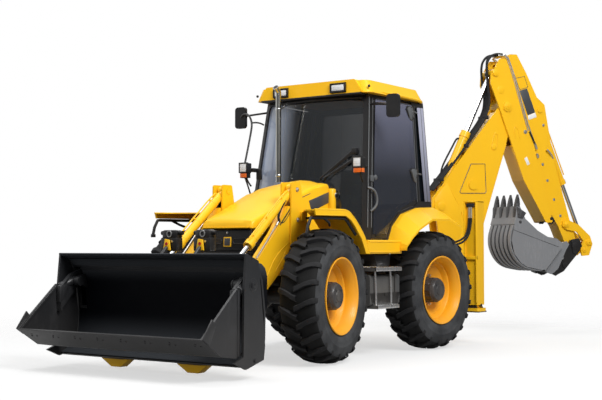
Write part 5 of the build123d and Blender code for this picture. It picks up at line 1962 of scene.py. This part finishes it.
@dataclass
class Bucket:
    """Wear strips, lip, tooth sleeves, cutters and hitch bolts of the digging bucket."""

    side: float = 0.3055
    bars: int = 6
    bar_pitch: float = 0.105
    knots: tuple[Flat, ...] = (
        (1.3, 1.5), (1.262, 1.38), (1.254, 1.27), (1.272, 1.18), (1.32, 1.08), (1.4, 0.99),
        (1.5, 0.935), (1.62, 0.908), (1.745, 0.889))

    @property
    def shell(self) -> list[Vector]:
        """Smooth line (y, z) round the bowl."""
        return curve(self.knots, 4)

    def bucket_bars(self) -> None:
        """Raised bars down the bowl and the lip plate."""
        bars = Shaper(HOE)
        for index in range(self.bars):
            x = -0.2625 + self.bar_pitch * index
            bars.strip(self.shell, x - 0.03, x + 0.03, -0.014)
        lip_plate = ((1.398, 1.748), (1.345, 1.64), (1.308, 1.512))
        bars.strip(lip_plate, -0.308, 0.308, -0.016)
        bars.finish("bucket_bars", "bucket", "bucket_steel")

    def bucket_wear(self) -> None:
        """Dark strips between the bars as painted shade in the gaps, and the cutters, sleeves and teeth."""
        gaps = Shaper(HOE)
        # painted shade: near-black strips laid between the raised bars, where the gaps fall into shade
        for index in range(self.bars - 1):
            x = -0.21 + self.bar_pitch * index
            gaps.strip(self.shell, x - 0.0215, x + 0.0215, -0.004)
        for sign in (-1, 1):
            gaps.sweep(at_x(sign * self.side, ((1.29, 1.437), (1.66, 1.318), (2.0, 1.208))), 0.003, 6)
            gaps.plate([(1.34, 1.752), (1.482, 1.668), (1.425, 1.59), (1.352, 1.61)],
                       *sorted((sign * 0.303, sign * 0.32)), 0.003)
            gaps.bolt((sign * self.side, 1.395, 1.545), (sign, 0, 0), 0.014, 0.01)
        for x in (-0.262, -0.087, 0.087, 0.262):
            gaps.plate(
                [(1.318, 1.6), (1.322, 1.745), (1.35, 1.8), (1.396, 1.8), (1.404, 1.62)],
                x - 0.034, x + 0.034, 0.006)
            gaps.loft([[(x - 0.028, 1.337, 1.78), (x + 0.028, 1.337, 1.78), (x + 0.028, 1.402, 1.78),
                        (x - 0.028, 1.402, 1.78)],
                       [(x - 0.024, 1.356, 1.86), (x + 0.024, 1.356, 1.86), (x + 0.024, 1.396, 1.86),
                        (x - 0.024, 1.396, 1.86)],
                       [(x - 0.016, 1.374, 1.921), (x + 0.016, 1.374, 1.921), (x + 0.016, 1.384, 1.921),
                        (x - 0.016, 1.384, 1.921)]])
        gaps.finish("bucket_wear", "bucket", "tooth_steel")

    def hitch_bolts(self) -> None:
        """Pin caps of the hitch."""
        spots = ((2.165, 1.254), (2.151, 1.056), (1.941, 0.943), (2.014, 0.89))
        bolts = both_sides(lambda s: [s.cap((0.168, y, z), (1, 0, 0), 0.024, 0.016) for y, z in spots], HOE)
        bolts.finish("hitch_bolts", "bucket", "zinc_plate")

    def build(self) -> None:
        """All pieces, in order."""
        self.bucket_bars()
        self.bucket_wear()
        self.hitch_bolts()
        both_sides(lambda s: [
            s.plate([(2.3, 1.31), (2.425, 1.33), (2.48, 1.225), (2.4, 1.1), (2.33, 1.12)], 0.164, 0.178,
            0.004), s.rod((0.16, 2.36, 1.217), (0.186, 2.36, 1.217), 0.05, 28, soft=0.004),
            s.rod((0.16, 2.189, 0.956), (0.182, 2.189, 0.956), 0.036, 28, soft=0.004),
            s.plate([(1.93, 0.85), (2.04, 0.805), (2.13, 0.86), (2.02, 0.97)], 0.164, 0.18, 0.004)],
            HOE).finish("hitch_plates", "bucket", "black_enamel")
        both_sides(lambda s: [
            s.cap((0.148, 2.613, 1.272), (1, 0, 0), 0.044, 0.012),
            s.cap((0.139, 2.54, 1.162), (1, 0, 0), 0.034, 0.012),
            s.cap((0.148, 2.246, 1.521), (1, 0, 0), 0.04, 0.012)], HOE).finish("lever_caps",
            "tipping_lever", "yellow_enamel")


SUB_ASSEMBLIES = (
    Shovel, Clam, Hood, Grille, LoaderFittings, Fenders, Cab, Interior, Seat, Steps, Rear, Backhoe,
    HoeHoses, Bucket)


# ---- stage ----
@dataclass
class Stage:
    """Pale floor, soft lamps, surroundings and the camera."""

    eye: Point = (7.605, -9.792, 1.195)
    pitch: float = 2.392
    yaw: float = 35.484
    lens: float = 68.41
    floor_half: float = 14.0
    shadow_radius: float = 3.0
    shadow_fade: float = 6.0
    shadow_cover: float = 0.4

    def floor(self) -> None:
        """Large pale floor that shows near the machine, with its shadow, and fades out further off."""
        mesh = bmesh.new()
        bmesh.ops.create_grid(mesh, x_segments=2, y_segments=2, size=self.floor_half)
        data = bpy.data.meshes.new("floor")
        mesh.to_mesh(data)
        mesh.free()
        floor = bpy.data.objects.new("floor", data)
        bpy.context.scene.collection.objects.link(floor)
        floor.location.z = -0.002
        g = Graph("pale_floor")
        patch = g.noise(0.8, 3.0)
        distance = (g.axis(0).power(2.0) + g.axis(1).power(2.0)).power(0.5)
        near = 1.0 - (distance - self.shadow_radius).step(0.0, self.shadow_fade)
        g.set(Base_Color=g.mix(patch * 0.1, (0.8, 0.8, 0.8, 1.0), (0.76, 0.76, 0.76, 1.0)), Roughness=0.9,
              Alpha=near * self.shadow_cover)
        data.materials.append(g.material)

    def lamp(self, name: str, where: Point, aim: Point, size: float, power: float,
             mirrored: bool = True) -> None:
        """Square soft lamp; one that isn't mirrored doesn't show in the glass."""
        light = bpy.data.lights.new(name, "AREA")
        light.size = size
        light.energy = power
        lamp = bpy.data.objects.new(name, light)
        lamp.location = where
        lamp.rotation_euler = (Vector(aim) - Vector(where)).to_track_quat("-Z", "Y").to_euler()
        lamp.visible_glossy = mirrored
        bpy.context.scene.collection.objects.link(lamp)

    def world(self) -> None:
        """White to the camera; soft light from above; brighter towards -X and upwards in reflections."""
        world = bpy.data.worlds.new("surroundings")
        bpy.context.scene.world = world
        world.use_nodes = True
        tree = world.node_tree
        tree.nodes.clear()

        def backdrop(strength: float) -> bpy.types.Node:
            """Plain background."""
            made = tree.nodes.new("ShaderNodeBackground")
            made.inputs[0].default_value = (1.0, 1.0, 1.0, 1.0)
            made.inputs[1].default_value = strength
            return made

        def ramp(axis: int, low: float, high: float, start: float, end: float) -> bpy.types.NodeSocket:
            """Strength that changes along one axis of the direction looked in."""
            made = tree.nodes.new("ShaderNodeMapRange")
            made.interpolation_type = "SMOOTHSTEP"
            tree.links.new(split.outputs[axis], made.inputs[0])
            for index, value in enumerate((low, high, start, end), 1):
                made.inputs[index].default_value = value
            return made.outputs[0]

        def choose(factor: str, first: bpy.types.Node, second: bpy.types.Node) -> bpy.types.Node:
            """Second shader for one kind of ray, first for the others."""
            made = tree.nodes.new("ShaderNodeMixShader")
            tree.links.new(path.outputs[factor], made.inputs[0])
            tree.links.new(first.outputs[0], made.inputs[1])
            tree.links.new(second.outputs[0], made.inputs[2])
            return made

        path, where, split = (
            tree.nodes.new(f"ShaderNode{kind}") for kind in ("LightPath", "TexCoord", "SeparateXYZ"))
        tree.links.new(where.outputs["Generated"], split.inputs[0])
        light, mirrored, seen = backdrop(0.4), backdrop(0.4), backdrop(1.0)
        tree.links.new(ramp(2, -0.15, 0.25, 0.08, 0.42), light.inputs[1])
        total = tree.nodes.new("ShaderNodeMath")
        tree.links.new(ramp(0, -0.7, -0.97, 0.16, 1.2), total.inputs[0])
        tree.links.new(ramp(2, 0.1, 0.75, 0.0, 0.6), total.inputs[1])
        tree.links.new(total.outputs[0], mirrored.inputs[1])
        out = tree.nodes.new("ShaderNodeOutputWorld")
        last = choose("Is Camera Ray", choose("Is Glossy Ray", light, mirrored), seen)
        tree.links.new(last.outputs[0], out.inputs[0])

    def camera(self) -> None:
        """Camera at the fitted viewpoint."""
        data = bpy.data.cameras.new("camera")
        data.lens = self.lens
        data.sensor_width = 36.0
        data.clip_end = 200.0
        camera = bpy.data.objects.new("camera", data)
        camera.location = Vector(self.eye) + SHIFT
        camera.rotation_euler = (math.radians(90.0 + self.pitch), 0.0, math.radians(self.yaw))
        bpy.context.scene.collection.objects.link(camera)
        bpy.context.scene.camera = camera

    def build(self) -> None:
        """Everything round the object."""
        self.floor()
        self.world()
        self.lamp("key", (9.0, -5.0, 9.0), (0.0, 0.0, 1.2), 5.0, 1480.0)
        self.lamp("top", (-2.0, -3.0, 11.0), (0.0, 0.0, 1.0), 7.0, 520.0)
        self.lamp("front", (-4.0, -12.0, 4.0), (0.0, -1.0, 1.2), 6.0, 170.0, False)
        self.lamp("back", (-6.0, 10.0, 8.0), (0.0, 1.0, 1.5), 6.0, 400.0)
        self.camera()
        bpy.context.scene.view_settings.view_transform = "Standard"


# ---- assembly ----
def main() -> None:
    """Load the frame, dress it and build the sub-assemblies in order."""
    logging.basicConfig(level=logging.INFO)
    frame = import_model()
    for finish in FINISHES:
        MATERIAL[finish.name] = finish.build()
    dress_frame(frame["nodes"])
    for end in End:
        for side in Side:
            Wheel(end, side).build()
    for sub_assembly in SUB_ASSEMBLIES:
        sub_assembly().build()
    Stage().build()


if __name__ == "__main__":
    main()
